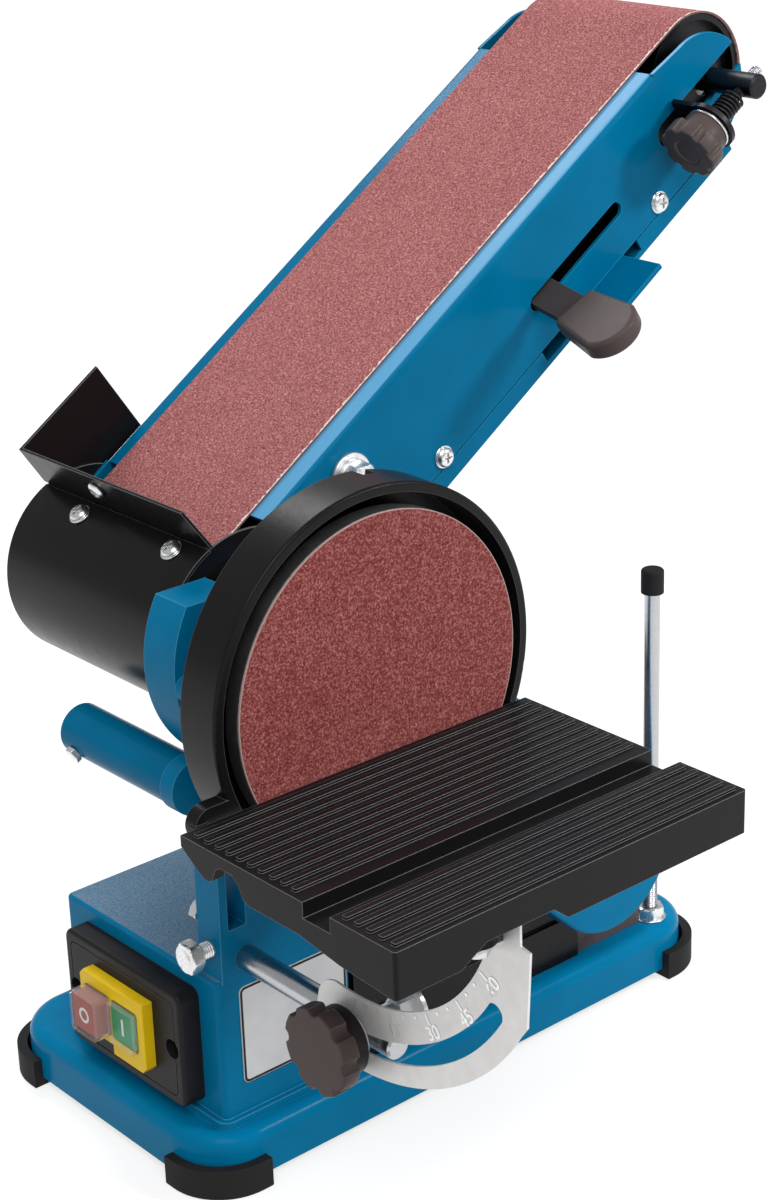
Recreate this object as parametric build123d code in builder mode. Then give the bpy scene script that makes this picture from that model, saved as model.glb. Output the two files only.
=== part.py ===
# Bench belt and disc sander: an assembly of separate pieces, in millimetres, +Z up.
# Places are counted from the spindle axis at the disc's sanding face:
# x to the right, y to the back, z up. The planes below carry them to the part's own frame,
# whose origin is on the floor under the middle of the whole machine.

import os
from math import cos, pi, radians, sin

from build123d import *

os.makedirs("parts", exist_ok=True)

# Standard disc and belt
disc_radius = 75.0
paper_thickness = 1.0
disc_back = 9.0
belt_width = 100.0
belt_length = 914.0
belt_thickness = 1.0
belt_inner = 30.75
belt_outer = belt_inner + belt_thickness
drum_radius = belt_inner - 0.3
drum_distance = (belt_length - 2 * pi * (belt_inner + belt_thickness / 2)) / 2
belt_near = 102.0
belt_far = belt_near + belt_width

# Belt arm
arm_angle = 33.5
frame_near = 91.0
frame_far = 213.0
sheet = 2.0
frame_top = 30.45
frame_bottom = -28.5
strip_start = 36.0
strip_end = 328.0
fold_radius = 3.0
nose_start = 349.0
nose_end = 380.0
shaft_slot_start = 320.5
shaft_slot_half = 6.5
cover_bottom = -38.0
cover_sheet = 1.6
cover_start = 50.0
cover_end = 351.0
cover_screw_places = ((126.0, -24.0), (298.0, -24.0))
tab_start = 218.0
tab_end = 265.0
tab_reach = 25.0
cover_cut_start = 199.5
cover_cut_end = 276.5
cover_cut_bottom = -35.5
lock_place = (81.5, 11.5)
clamp_back = 100.3
guard_drum_radius = 46.0
guard_sheet = 1.6
guard_drum_mouth = 6.2
cheek_end = 34.0
cheek_near = 88.8
cheek_far = 214.4
stop_face = 8.0
stop_sheet = 1.5
stop_top = 68.5
stop_flange_end = 61.0
stop_flange_under = 28.0
stop_side = 216.1
stop_near = 87.0

# Upper end of the arm
idler_shaft_radius = 6.0
idler_shaft_near = 61.5
idler_shaft_far = 207.5
tracking_y = 70.5
ear_place = 329.0
ear_sheet = 2.5
ear_radius = 13.0
ear_back = 89.3
tracking_screw_radius = 3.0
tracking_knob_radius = 14.8
tracking_knob_start = 310.5
tracking_knob_length = 9.0
tracking_knob_end = 327.0
tracking_hub_radius = 11.5
beam_start = 300.0
beam_end = 312.0

# Tension lever
lever_pivot = (231.0, 163.0)
lever_lean = 11.5
lever_level = -8.5
lever_thickness = 4.0
lever_width = 16.0
lever_length = 130.0
grip_start = 99.0
grip_shoulder = 128.0
grip_end = 139.5
lever_slot_low = 206.5
lever_slot_high = 277.5

# Disc guard and table
guard_radius = 86.0
guard_inner = 81.5
guard_front = 2.0
guard_back = 24.5
table_left = -109.0
table_right = 79.0
table_front = -131.5
table_rear = -3.0
table_level = -29.0
plate_under = -35.0
skirt_under = -50.3
right_skirt_under = -49.3
middle_skirt_under = -43.2
left_wall = 6.0
right_wall = 3.0
front_wall = 5.0
mitre_centre = -87.0
mitre_width = 16.0
mitre_depth = 8.0
rib_height = 1.2
rib_width = 2.8
rib_pitch = 6.8
boss_place = (-47.0, -107.0)
boss_radius = 8.0
boss_under = -59.5
tilt_axis = (-18.0, -37.0)
pin_radius = 2.2
running_gap = 0.05

# Protractor, table rod and tilt knob
protractor_left = -39.8
protractor_sheet = 1.2
flange_left = -57.0
flange_screw_radius = 3.0
protractor_outer = 121.5
protractor_inner = 85.8
protractor_inner_shift = -6.0
protractor_tail_angle = -12.0
tail_rounding = 13.0
protractor_front_angle = 62.0
slot_radius = 107.0
slot_width = 9.5
slot_rest_angle = 0.5
slot_start_angle = -3.0
slot_end_angle = 57.4
rod_radius = 6.0
rod_x = -31.4
tilt_bolt_radius = 3.0
tilt_bolt_y = tilt_axis[0] - slot_radius * sin(radians(slot_rest_angle))
rod_z = tilt_axis[1] - slot_radius * cos(radians(slot_rest_angle))
clamp_bolt_place = (72.5, rod_z + 6)
clamp_bolt_radius = 4.0
rod_front = -40.0
rod_back = 88.0
tilt_knob_radius = 20.0
tilt_knob_left = -60.0
tilt_knob_length = 9.0
tilt_hub_radius = 15.5
tilt_knob_end = -42.6
tilt_nut_end = -4.0

# Spindle and drive
shaft_radius = 7.5
shaft_far = 214.0
bearing_outer = 17.45
drive_front = 47.5
drive_back = 60.5
driven_radius = 26.0
motor_pulley_radius = 13.0
motor_x = 183.0
motor_z = -165.0
drive_belt_gap = 0.3
drive_belt_thickness = 3.0
drive_cover_front = 44.0
drive_cover_back = 62.0
drive_cover_top_radius = 32.0
drive_cover_low_radius = 41.0
drive_cover_wall = 2.0
motor_front = 66.0
motor_seam = 165.0
motor_back = 188.0
motor_width = 86.0
motor_height = 88.0
motor_corner = 18.0
foot_left = 31.5
foot_right = 178.0
foot_front = 64.0
foot_top = -203.0
foot_rounding = 15.0
side_box_top = -178.0
stator_radius = 39.5
motor_shaft_radius = 6.0
rotor_radius = 30.3

# Base and pedestal
tray_left = -66.0
tray_right = 259.0
tray_front = 52.5
tray_rear = 222.0
tray_height = 24.0
tray_corner = 30.0
tray_edge = 7.0
tray_wall = 2.0
floor_z = -256.0
foot_under = 5.0
foot_wall = 5.0
foot_height = 15.5
foot_reach = 35.5
box_left = -48.5
box_right = 28.0
box_front = 64.0
box_rear = 184.0
box_top = -152.0
box_wall = 4.0
upright_left = -44.0
upright_rear = 81.0
rim_rear = 86.0
rim_radius = 60.0
rim_wall = 20.0
rim_top = 31.0
rim_low_angle = 234.0
web_front = 78.0
web_top = 12.0
sleeve_radius = 22.0
sleeve_rear = 101.0
socket_x = -47.0
socket_z = -57.0
socket_radius = 12.0
socket_bore = 6.1
socket_far = 159.0
set_screw_slope = 30.0
support_x = 233.5
support_y = 66.5
support_radius = 4.0
support_top = -31.2
cap_length = 12.5
cap_radius = 5.8

# Switch
switch_left = -60.0
switch_y = 124.3
switch_z = -189.8
switch_length = 91.0
switch_height = 59.5
button_z = -188.0
start_y = 114.4
stop_y = 136.0
button_width = 18.0
button_height = 18.0
button_inner = -58.0
start_face = -67.5
stop_face_x = -74.0
bezel_left = -66.0

# Values worked out from the driving dimensions
tray_bottom = floor_z + foot_under
tray_top = tray_bottom + tray_height
tray_length = tray_right - tray_left
tray_width = tray_rear - tray_front
tray_centre = ((tray_left + tray_right) / 2, (tray_front + tray_rear) / 2)
box_length = box_right - box_left
box_width = box_rear - box_front
box_centre = ((box_left + box_right) / 2, (box_front + box_rear) / 2)
machine_right = drum_distance * cos(radians(arm_angle)) + belt_outer
axis_x = -(table_left + machine_right) / 2
machine_rear = tray_rear + foot_wall
disc_y = -(table_front + machine_rear) / 2
axis_z = -floor_z
motor_place = (motor_x, motor_z)
arm_direction = (cos(radians(arm_angle)), 0, sin(radians(arm_angle)))
belt_normal = (-sin(radians(arm_angle)), 0, cos(radians(arm_angle)))


def front_plane(y):
    """Plane facing the front: local axes are x and z, extruding goes forward."""
    return Plane(origin=(axis_x, disc_y + y, axis_z), x_dir=(1, 0, 0), z_dir=(0, -1, 0))


def side_plane(x):
    """Plane facing right: local axes are y and z, extruding goes right."""
    return Plane(origin=(axis_x + x, disc_y, axis_z), x_dir=(0, 1, 0), z_dir=(1, 0, 0))


def top_plane(z):
    """Level plane: local axes are x and y, extruding goes up."""
    return Plane(origin=(axis_x, disc_y, axis_z + z), x_dir=(1, 0, 0), z_dir=(0, 0, 1))


def arm_plane(y):
    """Plane across the spindle: local axes run along the arm and out of the belt."""
    return Plane(origin=(axis_x, disc_y + y, axis_z), x_dir=arm_direction, z_dir=(0, -1, 0))


def belt_plane(level):
    """Plane parallel to the belt: local axes run along the arm and to the back."""
    start = Vector(axis_x, disc_y, axis_z) + Vector(*belt_normal) * level
    return Plane(origin=start, x_dir=arm_direction, z_dir=belt_normal)


def cross_plane(along):
    """Plane across the arm: local axes run to the back and out of the belt."""
    start = Vector(axis_x, disc_y, axis_z) + Vector(*arm_direction) * along
    return Plane(origin=start, x_dir=(0, 1, 0), z_dir=arm_direction)


def lever_plane(level):
    """Plane parallel to the belt at the lever's pin: local axes run along and across the lever."""
    start = belt_plane(level).from_local_coords(Vector(lever_pivot[0], lever_pivot[1], 0))
    turn = radians(-90 - lever_lean)
    direction = Vector(*arm_direction) * cos(turn) + Vector(0, 1, 0) * sin(turn)
    return Plane(origin=start, x_dir=direction, z_dir=belt_normal)


def set_screw_plane(reach):
    """Plane across the set screw, a given reach out from the middle of the socket tube."""
    slope = radians(set_screw_slope)
    direction = Vector(-cos(slope), 0, -sin(slope))
    middle = Vector(axis_x + socket_x, disc_y + socket_far - 9, axis_z + socket_z)
    return Plane(origin=middle + direction * reach, x_dir=(0, 1, 0), z_dir=direction)


def rectangle_between(low, high, mode=Mode.ADD):
    """Rectangle given by two opposite corners in the sketch's own axes."""
    middle = ((low[0] + high[0]) / 2, (low[1] + high[1]) / 2)
    with Locations(middle):
        Rectangle(high[0] - low[0], high[1] - low[1], mode=mode)


def lobed_knob(radius, lobes):
    """Outline of a hand knob: a circle with a flute between each two lobes."""
    Circle(radius)
    with PolarLocations(radius * 1.06, lobes):
        Circle(radius * 0.18, mode=Mode.SUBTRACT)


def save(piece, name):
    """Label a finished piece and write it to its own file."""
    piece.part.label = name
    export_step(piece.part, f"parts/{name}.step")


# Base tray: a pressed steel pan, upside down, with a hole for the support rod
with BuildPart() as base_tray:
    with BuildSketch(top_plane(tray_bottom)):
        with Locations(tray_centre):
            RectangleRounded(tray_length, tray_width, tray_corner)
    extrude(amount=tray_height)
    fillet(base_tray.faces().sort_by(Axis.Z)[-1].edges(), tray_edge)
    for inset, depth in ((tray_wall, tray_height - tray_edge), (tray_edge, tray_height - tray_wall)):
        with BuildSketch(top_plane(tray_bottom)):
            with Locations(tray_centre):
                RectangleRounded(tray_length - 2 * inset, tray_width - 2 * inset, tray_corner - inset)
        extrude(amount=depth, mode=Mode.SUBTRACT)
    with BuildSketch(top_plane(tray_bottom)):
        with Locations((support_x, support_y)):
            Circle(support_radius + running_gap)
    extrude(amount=tray_height, mode=Mode.SUBTRACT)
save(base_tray, "base_tray")

# Bottom plate: closes the tray from below
with BuildPart() as bottom_plate:
    plate_inset = tray_wall + 0.4
    with BuildSketch(top_plane(tray_bottom)):
        with Locations(tray_centre):
            RectangleRounded(
                tray_length - 2 * plate_inset, tray_width - 2 * plate_inset, tray_corner - plate_inset
            )
    extrude(amount=1.5)
save(bottom_plate, "bottom_plate")

# Rubber feet: one wraps each corner of the tray and passes under it
with BuildPart() as rubber_feet:
    foot_length = tray_length + 2 * foot_wall
    foot_width = tray_width + 2 * foot_wall
    with BuildSketch(top_plane(floor_z)):
        with Locations(tray_centre):
            RectangleRounded(foot_length, foot_width, tray_corner)
            Rectangle(foot_length - 2 * foot_reach, foot_width + 1, mode=Mode.SUBTRACT)
            Rectangle(foot_length + 1, foot_width - 2 * foot_reach, mode=Mode.SUBTRACT)
    extrude(amount=foot_height)
    fillet(rubber_feet.faces().sort_by(Axis.Z)[0:4].edges(), 1.5)
    with BuildSketch(top_plane(tray_bottom)):
        with Locations(tray_centre):
            RectangleRounded(tray_length, tray_width, tray_corner - foot_wall)
    extrude(amount=foot_height, mode=Mode.SUBTRACT)
save(rubber_feet, "rubber_feet")

# Pedestal: one casting with the switch housing, the upright, the curved rim and the bearing sleeve
with BuildPart() as pedestal:
    with BuildSketch(top_plane(tray_top)):
        with Locations(box_centre):
            RectangleRounded(box_length, box_width, 3)
    extrude(amount=box_top - tray_top)
    fillet(pedestal.faces().sort_by(Axis.Z)[-1].edges(), 2)
    with BuildSketch(top_plane(tray_top)):
        with Locations(box_centre):
            RectangleRounded(box_length + 6, box_width + 6, 6)
    extrude(amount=4)
    with BuildSketch(front_plane(upright_rear)):
        Polygon(
            (upright_left - 1.5, box_top - 6),
            (box_right - 4, box_top - 6),
            (box_right - 6, -136),
            (-20, -64),
            (-20, -50),
            (upright_left, -40),
            align=None,
        )
    extrude(amount=upright_rear - box_front)
    with BuildSketch(front_plane(upright_rear)):
        with Locations((socket_x, socket_z)):
            Circle(socket_radius + 1)
    extrude(amount=9)
    rim_band = (rim_radius - rim_wall, box_front, rim_top)
    web_band = (sleeve_radius, web_front, web_top)
    for band_inner, band_front, band_top in (rim_band, web_band):
        with BuildSketch(front_plane(rim_rear)):
            Circle(rim_radius)
            Circle(band_inner, mode=Mode.SUBTRACT)
            Polygon(
                (0, 0),
                (100 * cos(radians(rim_low_angle)), 100 * sin(radians(rim_low_angle))),
                (-100, -100),
                (-100, band_top),
                (0, band_top),
                align=None,
                mode=Mode.INTERSECT,
            )
        extrude(amount=rim_rear - band_front)
    with BuildSketch(front_plane(rim_rear)):
        Circle(34)
    extrude(amount=rim_rear - web_front)
    with BuildSketch(front_plane(box_front)):
        with Locations((-54, -5)):
            Circle(6)
    extrude(amount=box_front - guard_back - 0.05)
    with BuildSketch(front_plane(sleeve_rear)):
        Circle(sleeve_radius)
    extrude(amount=sleeve_rear - box_front)
    with BuildSketch(top_plane(tray_top)):
        with Locations(box_centre):
            Rectangle(box_length - 2 * box_wall, box_width - 2 * box_wall)
    extrude(amount=box_top - tray_top - box_wall, mode=Mode.SUBTRACT)
    with BuildSketch(front_plane(sleeve_rear)):
        Circle(bearing_outer + running_gap)
        with Locations((rod_x, rod_z)):
            Circle(rod_radius + running_gap)
        rectangle_between((protractor_left - 0.6, -127.5), (-30.5, -83.5))
    extrude(amount=sleeve_rear - box_front + 1, mode=Mode.SUBTRACT)
    with BuildSketch(side_plane(box_left - 1)):
        with Locations(((start_y + stop_y) / 2, button_z)):
            Rectangle(44, 24)
    extrude(amount=box_wall + 2, mode=Mode.SUBTRACT)
    with BuildSketch(side_plane(box_left - 1)):
        with Locations(clamp_bolt_place):
            Circle(clamp_bolt_radius + running_gap)
    extrude(amount=rod_x - box_left, mode=Mode.SUBTRACT)
save(pedestal, "pedestal")

# Spindle bearings: two ball bearings in the sleeve, drawn as rings
with BuildPart() as spindle_bearings:
    for bearing_rear in (77, sleeve_rear - 1):
        with BuildSketch(front_plane(bearing_rear)):
            Circle(bearing_outer)
            Circle(shaft_radius + running_gap, mode=Mode.SUBTRACT)
        extrude(amount=11)
save(spindle_bearings, "spindle_bearings")

# Switch cover: the black box on the left face, open in the middle for the switch
with BuildPart() as switch_cover:
    with BuildSketch(side_plane(switch_left)):
        with Locations((switch_y, switch_z)):
            RectangleRounded(switch_length, switch_height, 5)
    extrude(amount=box_left - switch_left)
    fillet(switch_cover.faces().sort_by(Axis.X)[0].edges(), 2)
    with BuildSketch(side_plane(switch_left)):
        with Locations(((start_y + stop_y) / 2, button_z)):
            Rectangle(44, 24)
    extrude(amount=box_left - switch_left, mode=Mode.SUBTRACT)
    with BuildSketch(side_plane(switch_left)):
        with Locations((switch_y, switch_z)):
            RectangleRounded(switch_length - 9, switch_height - 9, 4)
            RectangleRounded(switch_length - 11, switch_height - 11, 3, mode=Mode.SUBTRACT)
    extrude(amount=0.6, mode=Mode.SUBTRACT)
    with BuildSketch(side_plane(switch_left)):
        with Locations((switch_y, switch_z)):
            with GridLocations(switch_length - 15, 0, 2, 1):
                Circle(5)
    extrude(amount=6, mode=Mode.SUBTRACT)
save(switch_cover, "switch_cover")

# Switch bezel: the yellow frame round both buttons, stepped below the stop button
with BuildPart() as switch_bezel:
    with BuildSketch(side_plane(bezel_left)):
        Polygon(
            (100, button_z + 17),
            (147, button_z + 17),
            (150, button_z + 14),
            (150, button_z - 15),
            (126, button_z - 15),
            (126, button_z - 20),
            (103, button_z - 20),
            (100, button_z - 17),
            align=None,
        )
        with Locations((start_y, button_z), (stop_y, button_z)):
            Rectangle(button_width + 1, button_height + 1, mode=Mode.SUBTRACT)
    extrude(amount=switch_left - bezel_left)
    fillet(switch_bezel.faces().sort_by(Axis.X)[0].outer_wire().edges(), 0.8)
save(switch_bezel, "switch_bezel")

# Switch block: the contact block behind the buttons
with BuildPart() as switch_block:
    with BuildSketch(side_plane(button_inner + 4)):
        with Locations(((start_y + stop_y) / 2, button_z)):
            Rectangle(43, 23)
    extrude(amount=30)
save(switch_block, "switch_block")

# Push buttons and the clear shrouds that stand round them
for button_name, button_y, button_face in (
    ("start_button", start_y, start_face),
    ("stop_button", stop_y, stop_face_x),
):
    with BuildPart() as push_button:
        with BuildSketch(side_plane(button_face)):
            with Locations((button_y, button_z)):
                RectangleRounded(button_width, button_height, 1.5)
        extrude(amount=button_inner - button_face)
        fillet(push_button.faces().sort_by(Axis.X)[0].edges(), 0.8)
    save(push_button, button_name)

with BuildPart() as button_shrouds:
    for button_y, shroud_face in ((start_y, start_face - 1.5), (stop_y, stop_face_x - 1.0)):
        with BuildSketch(side_plane(shroud_face)):
            with Locations((button_y, button_z)):
                RectangleRounded(button_width + 2.0, button_height + 3.4, 2.2)
                RectangleRounded(button_width + 0.8, button_height + 1.2, 1.6, mode=Mode.SUBTRACT)
        extrude(amount=bezel_left - shroud_face)
save(button_shrouds, "button_shrouds")

# Rating plate: bare sheet on the front of the switch housing
with BuildPart() as rating_plate:
    with BuildSketch(front_plane(box_front)):
        with Locations((-6, -183)):
            RectangleRounded(62, 50, 3)
    extrude(amount=0.6)
save(rating_plate, "rating_plate")

# Motor: housing with its foot, end cover, stator and bearings
with BuildPart() as motor_housing:
    with BuildSketch(front_plane(motor_seam)):
        with Locations(motor_place):
            RectangleRounded(motor_width, motor_height, motor_corner)
    extrude(amount=motor_seam - motor_front)
    with BuildSketch(front_plane(motor_back)):
        rectangle_between((motor_x - 54, tray_top), (motor_x + 42, motor_z - motor_height / 2 + 12))
    extrude(amount=motor_back - motor_front)
    with BuildSketch(front_plane(motor_back)):
        rectangle_between((foot_left, tray_top), (foot_right, foot_top))
        fillet(vertices().group_by(Axis.Y)[-1].sort_by(Axis.X)[-1], foot_rounding)
    extrude(amount=motor_back - foot_front)
    with BuildSketch(front_plane(motor_seam)):
        rectangle_between((foot_left, foot_top - 1), (motor_x - motor_width / 2 + 2, side_box_top))
    extrude(amount=motor_seam - motor_front)
    with BuildSketch(front_plane(motor_seam - 4)):
        rectangle_between((foot_left + 4, tray_top), (motor_x - motor_width / 2 - 4, side_box_top - 4))
    extrude(amount=motor_seam - motor_front - 8, mode=Mode.SUBTRACT)
    with BuildSketch(front_plane(motor_back)):
        with Locations(motor_place):
            RectangleRounded(motor_width, motor_height, motor_corner)
    extrude(amount=motor_back - motor_seam, mode=Mode.SUBTRACT)
    with BuildSketch(front_plane(motor_seam)):
        with Locations(motor_place):
            Circle(stator_radius + 0.5)
    extrude(amount=motor_seam - motor_front - 4, mode=Mode.SUBTRACT)
    with BuildSketch(front_plane(motor_front + 13)):
        with Locations(motor_place):
            Circle(20)
    extrude(amount=11)
    with BuildSketch(front_plane(motor_front + 13)):
        with Locations(motor_place):
            Circle(16.05)
    extrude(amount=9, mode=Mode.SUBTRACT)
    with BuildSketch(front_plane(motor_seam)):
        with Locations(motor_place):
            Circle(motor_shaft_radius + 2)
    extrude(amount=motor_seam, mode=Mode.SUBTRACT)
save(motor_housing, "motor_housing")

with BuildPart() as motor_end_cover:
    with BuildSketch(front_plane(motor_back)):
        with Locations(motor_place):
            RectangleRounded(motor_width, motor_height, motor_corner)
    extrude(amount=motor_back - motor_seam)
    fillet(motor_end_cover.faces().sort_by(Axis.Y)[-1].edges(), 8)
    with BuildSketch(front_plane(motor_back - 4)):
        with Locations(motor_place):
            Circle(38)
            Circle(20, mode=Mode.SUBTRACT)
    extrude(amount=motor_back - motor_seam, mode=Mode.SUBTRACT)
    with BuildSketch(front_plane(motor_seam + 9)):
        with Locations(motor_place):
            Circle(16.05)
    extrude(amount=10, mode=Mode.SUBTRACT)
    with BuildSketch(front_plane(motor_back)):
        with Locations(motor_place):
            with PolarLocations(29, 10):
                SlotOverall(13, 4)
    extrude(amount=5, mode=Mode.SUBTRACT)
save(motor_end_cover, "motor_end_cover")

with BuildPart() as stator:
    with BuildSketch(front_plane(142)):
        with Locations(motor_place):
            Circle(stator_radius)
            Circle(rotor_radius + 0.7, mode=Mode.SUBTRACT)
    extrude(amount=50)
save(stator, "stator")

with BuildPart() as motor_bearings:
    for bearing_rear in (motor_front + 13, motor_seam + 9):
        with BuildSketch(front_plane(bearing_rear)):
            with Locations(motor_place):
                Circle(16)
                Circle(motor_shaft_radius + running_gap, mode=Mode.SUBTRACT)
        extrude(amount=9)
save(motor_bearings, "motor_bearings")

with BuildPart() as rotor:
    with BuildSketch(front_plane(142)):
        with Locations(motor_place):
            Circle(rotor_radius)
    extrude(amount=50)
    with BuildSketch(front_plane(motor_seam + 8.5)):
        with Locations(motor_place):
            Circle(motor_shaft_radius)
    extrude(amount=motor_seam + 8.5 - drive_front + 0.7)
save(rotor, "rotor")

# Drive: pulley on the motor, pulley on the spindle, ribbed belt and its cover
for pulley_name, pulley_radius, hub_radius, pulley_place in (
    ("motor_pulley", motor_pulley_radius, motor_shaft_radius, motor_place),
    ("driven_pulley", driven_radius, shaft_radius, (0, 0)),
):
    with BuildPart() as pulley:
        with BuildSketch(front_plane(drive_back)):
            with Locations(pulley_place):
                Circle(pulley_radius)
                Circle(hub_radius + 0.02, mode=Mode.SUBTRACT)
        extrude(amount=drive_back - drive_front)
        chamfer(pulley.edges().filter_by(GeomType.CIRCLE).sort_by(SortBy.RADIUS)[-2:], 0.8)
    save(pulley, pulley_name)


def drive_outline(upper_radius, lower_radius):
    """Outline that wraps a circle on the spindle and a circle on the motor shaft."""
    with BuildSketch() as band:
        Circle(upper_radius)
        with Locations(motor_place):
            Circle(lower_radius)
        make_hull()
    return band.sketch


belt_inside = drive_outline(driven_radius + drive_belt_gap, motor_pulley_radius + drive_belt_gap)
belt_outside = drive_outline(
    driven_radius + drive_belt_gap + drive_belt_thickness,
    motor_pulley_radius + drive_belt_gap + drive_belt_thickness,
)
cover_outside = drive_outline(drive_cover_top_radius, drive_cover_low_radius)
cover_inside = drive_outline(
    drive_cover_top_radius - drive_cover_wall, drive_cover_low_radius - drive_cover_wall
)

with BuildPart() as drive_belt:
    with BuildSketch(front_plane(drive_back - 1)):
        add(belt_outside)
        add(belt_inside, mode=Mode.SUBTRACT)
    extrude(amount=drive_back - drive_front - 2)
save(drive_belt, "drive_belt")

with BuildPart() as drive_belt_cover:
    with BuildSketch(front_plane(drive_cover_back)):
        add(cover_outside)
    extrude(amount=drive_cover_back - drive_cover_front)
    fillet(drive_belt_cover.faces().sort_by(Axis.Y)[0].edges(), 1.5)
    with BuildSketch(front_plane(drive_cover_back)):
        add(cover_inside)
    extrude(amount=drive_cover_back - drive_cover_front - drive_cover_wall, mode=Mode.SUBTRACT)
    with BuildSketch(front_plane(drive_cover_back)):
        Circle(shaft_radius + 3)
    extrude(amount=drive_cover_back, mode=Mode.SUBTRACT)
save(drive_belt_cover, "drive_belt_cover")

with BuildPart() as drive_cover_plate:
    with BuildSketch(front_plane(drive_cover_back + 1.6)):
        add(cover_outside)
        Circle(sleeve_radius + 1, mode=Mode.SUBTRACT)
        with Locations(motor_place):
            Circle(motor_shaft_radius + 2, mode=Mode.SUBTRACT)
    extrude(amount=1.6)
save(drive_cover_plate, "drive_cover_plate")

# Disc guard: ring with a back wall, a leg to the pedestal and two ears for the table
with BuildPart() as disc_guard:
    left_ear = (table_left + left_wall + 3, table_left + left_wall + 11)
    right_ear = (table_right - right_wall - 5, table_right - right_wall - 0.5)
    with BuildSketch(front_plane(guard_back)):
        Circle(guard_radius)
    extrude(amount=guard_back - guard_front)
    fillet(disc_guard.faces().sort_by(Axis.Y)[0].edges(), 1.5)
    for ear_start, ear_end in (left_ear, right_ear):
        with BuildSketch(side_plane(ear_start)):
            rectangle_between((tilt_axis[0], tilt_axis[1] - 4.6), (guard_front + 3, tilt_axis[1] + 4.6))
            with Locations(tilt_axis):
                Circle(4.6)
        extrude(amount=ear_end - ear_start)
    with BuildSketch(front_plane(guard_front + 7)):
        with Locations((left_ear[0] + 14, -34.5)):
            SlotOverall(24, 16)
    extrude(amount=7)
    with BuildSketch(front_plane(guard_back - 3)):
        Circle(guard_inner)
    extrude(amount=guard_back, mode=Mode.SUBTRACT)
    with BuildSketch(front_plane(guard_back)):
        Circle(shaft_radius + 20)
    extrude(amount=4, mode=Mode.SUBTRACT)
    with BuildSketch(front_plane(box_front)):
        with Locations((-30, -68)):
            Circle(9)
    extrude(amount=box_front - guard_back)
    with BuildSketch(front_plane(guard_back)):
        with PolarLocations(guard_radius, 1, start_angle=82):
            Rectangle(6, 7)
    extrude(amount=7, mode=Mode.SUBTRACT)
    with BuildSketch(side_plane(left_ear[0] - 1)):
        with Locations(tilt_axis):
            Circle(pin_radius + running_gap)
    extrude(amount=right_ear[1] - left_ear[0] + 2, mode=Mode.SUBTRACT)
save(disc_guard, "disc_guard")

# Table pivot pins: one through each ear into the table's side wall
with BuildPart() as table_pivot_pins:
    for pin_start, pin_end in ((table_left + 3, left_ear[1] - 0.3), (right_ear[0] + 0.3, table_right - 1)):
        with BuildSketch(side_plane(pin_start)):
            with Locations(tilt_axis):
                Circle(pin_radius)
        extrude(amount=pin_end - pin_start)
save(table_pivot_pins, "table_pivot_pins")

# Table: casting with raised ribs, a mitre groove, side walls with lugs, and a front wall
with BuildPart() as table_top:
    table_middle = (table_left + table_right) / 2
    table_width = table_right - table_left
    plate_level = table_level - rib_height
    with BuildSketch(top_plane(plate_under)):
        rectangle_between((table_left, table_front), (table_right, table_rear))
    extrude(amount=plate_level - plate_under)
    for wall_start, wall_thickness, wall_under in (
        (table_left, left_wall, skirt_under),
        (table_right - right_wall, right_wall, right_skirt_under),
    ):
        with BuildSketch(side_plane(wall_start)):
            Polygon(
                (table_rear, plate_level - 1),
                (table_rear, plate_under),
                (-14, -42.5),
                (-17.5, -44.2),
                (-20.5, -44.2),
                (-22.5, -43),
                (-25, -37.5),
                (-28, -35.5),
                (-35.5, -35.5),
                (-39.5, -38.5),
                (-42, -43.5),
                (-46, -45.2),
                (-76, -45),
                (-100, -48.5),
                (table_front, wall_under),
                (table_front, plate_level - 1),
                align=None,
            )
        extrude(amount=wall_thickness)
    with BuildSketch(front_plane(table_front + front_wall)):
        Polygon(
            (table_left, plate_level - 1),
            (table_left, skirt_under),
            (-77, skirt_under),
            (-71, skirt_under + 3.5),
            (-64, middle_skirt_under),
            (-29.5, middle_skirt_under),
            (-22, right_skirt_under),
            (table_right, right_skirt_under),
            (table_right, plate_level - 1),
            align=None,
        )
    extrude(amount=front_wall)
    with BuildSketch(top_plane(table_level - mitre_depth - 4)):
        with Locations((table_middle, mitre_centre)):
            Rectangle(table_width, mitre_width + 6)
    extrude(amount=mitre_depth)
    fillet(table_top.edges().filter_by(Axis.Z).group_by(Axis.Y)[0], 1.5)
    with BuildSketch(top_plane(boss_under)):
        with Locations(boss_place):
            Circle(boss_radius)
    extrude(amount=plate_under - boss_under)
    with BuildSketch(top_plane(boss_under)):
        with Locations(boss_place):
            Circle(flange_screw_radius)
    extrude(amount=14, mode=Mode.SUBTRACT)
    with BuildSketch(top_plane(plate_level)):
        with Locations((table_middle, -39.5)):
            with GridLocations(0, rib_pitch, 1, 10):
                RectangleRounded(table_width - 6, rib_width, 0.8)
        with Locations((table_middle, -113.4)):
            with GridLocations(0, rib_pitch, 1, 5):
                RectangleRounded(table_width - 6, rib_width, 0.8)
    extrude(amount=rib_height)
    with BuildSketch(top_plane(table_level - mitre_depth)):
        with Locations((table_middle, mitre_centre)):
            Rectangle(table_width + 2, mitre_width)
    extrude(amount=mitre_depth, mode=Mode.SUBTRACT)
    for ear_start, ear_end in (left_ear, right_ear):
        with BuildSketch(side_plane(ear_start - 0.5)):
            rectangle_between((tilt_axis[0] - 6, plate_under), (table_rear + 1, tilt_axis[1] + 5))
        extrude(amount=ear_end - ear_start + 1, mode=Mode.SUBTRACT)
    for hole_start, hole_end in ((table_left + 2.7, -100), (70, table_right - 0.7)):
        with BuildSketch(side_plane(hole_start)):
            with Locations(tilt_axis):
                Circle(pin_radius + running_gap)
        extrude(amount=hole_end - hole_start, mode=Mode.SUBTRACT)
save(table_top, "table_top")

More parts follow.
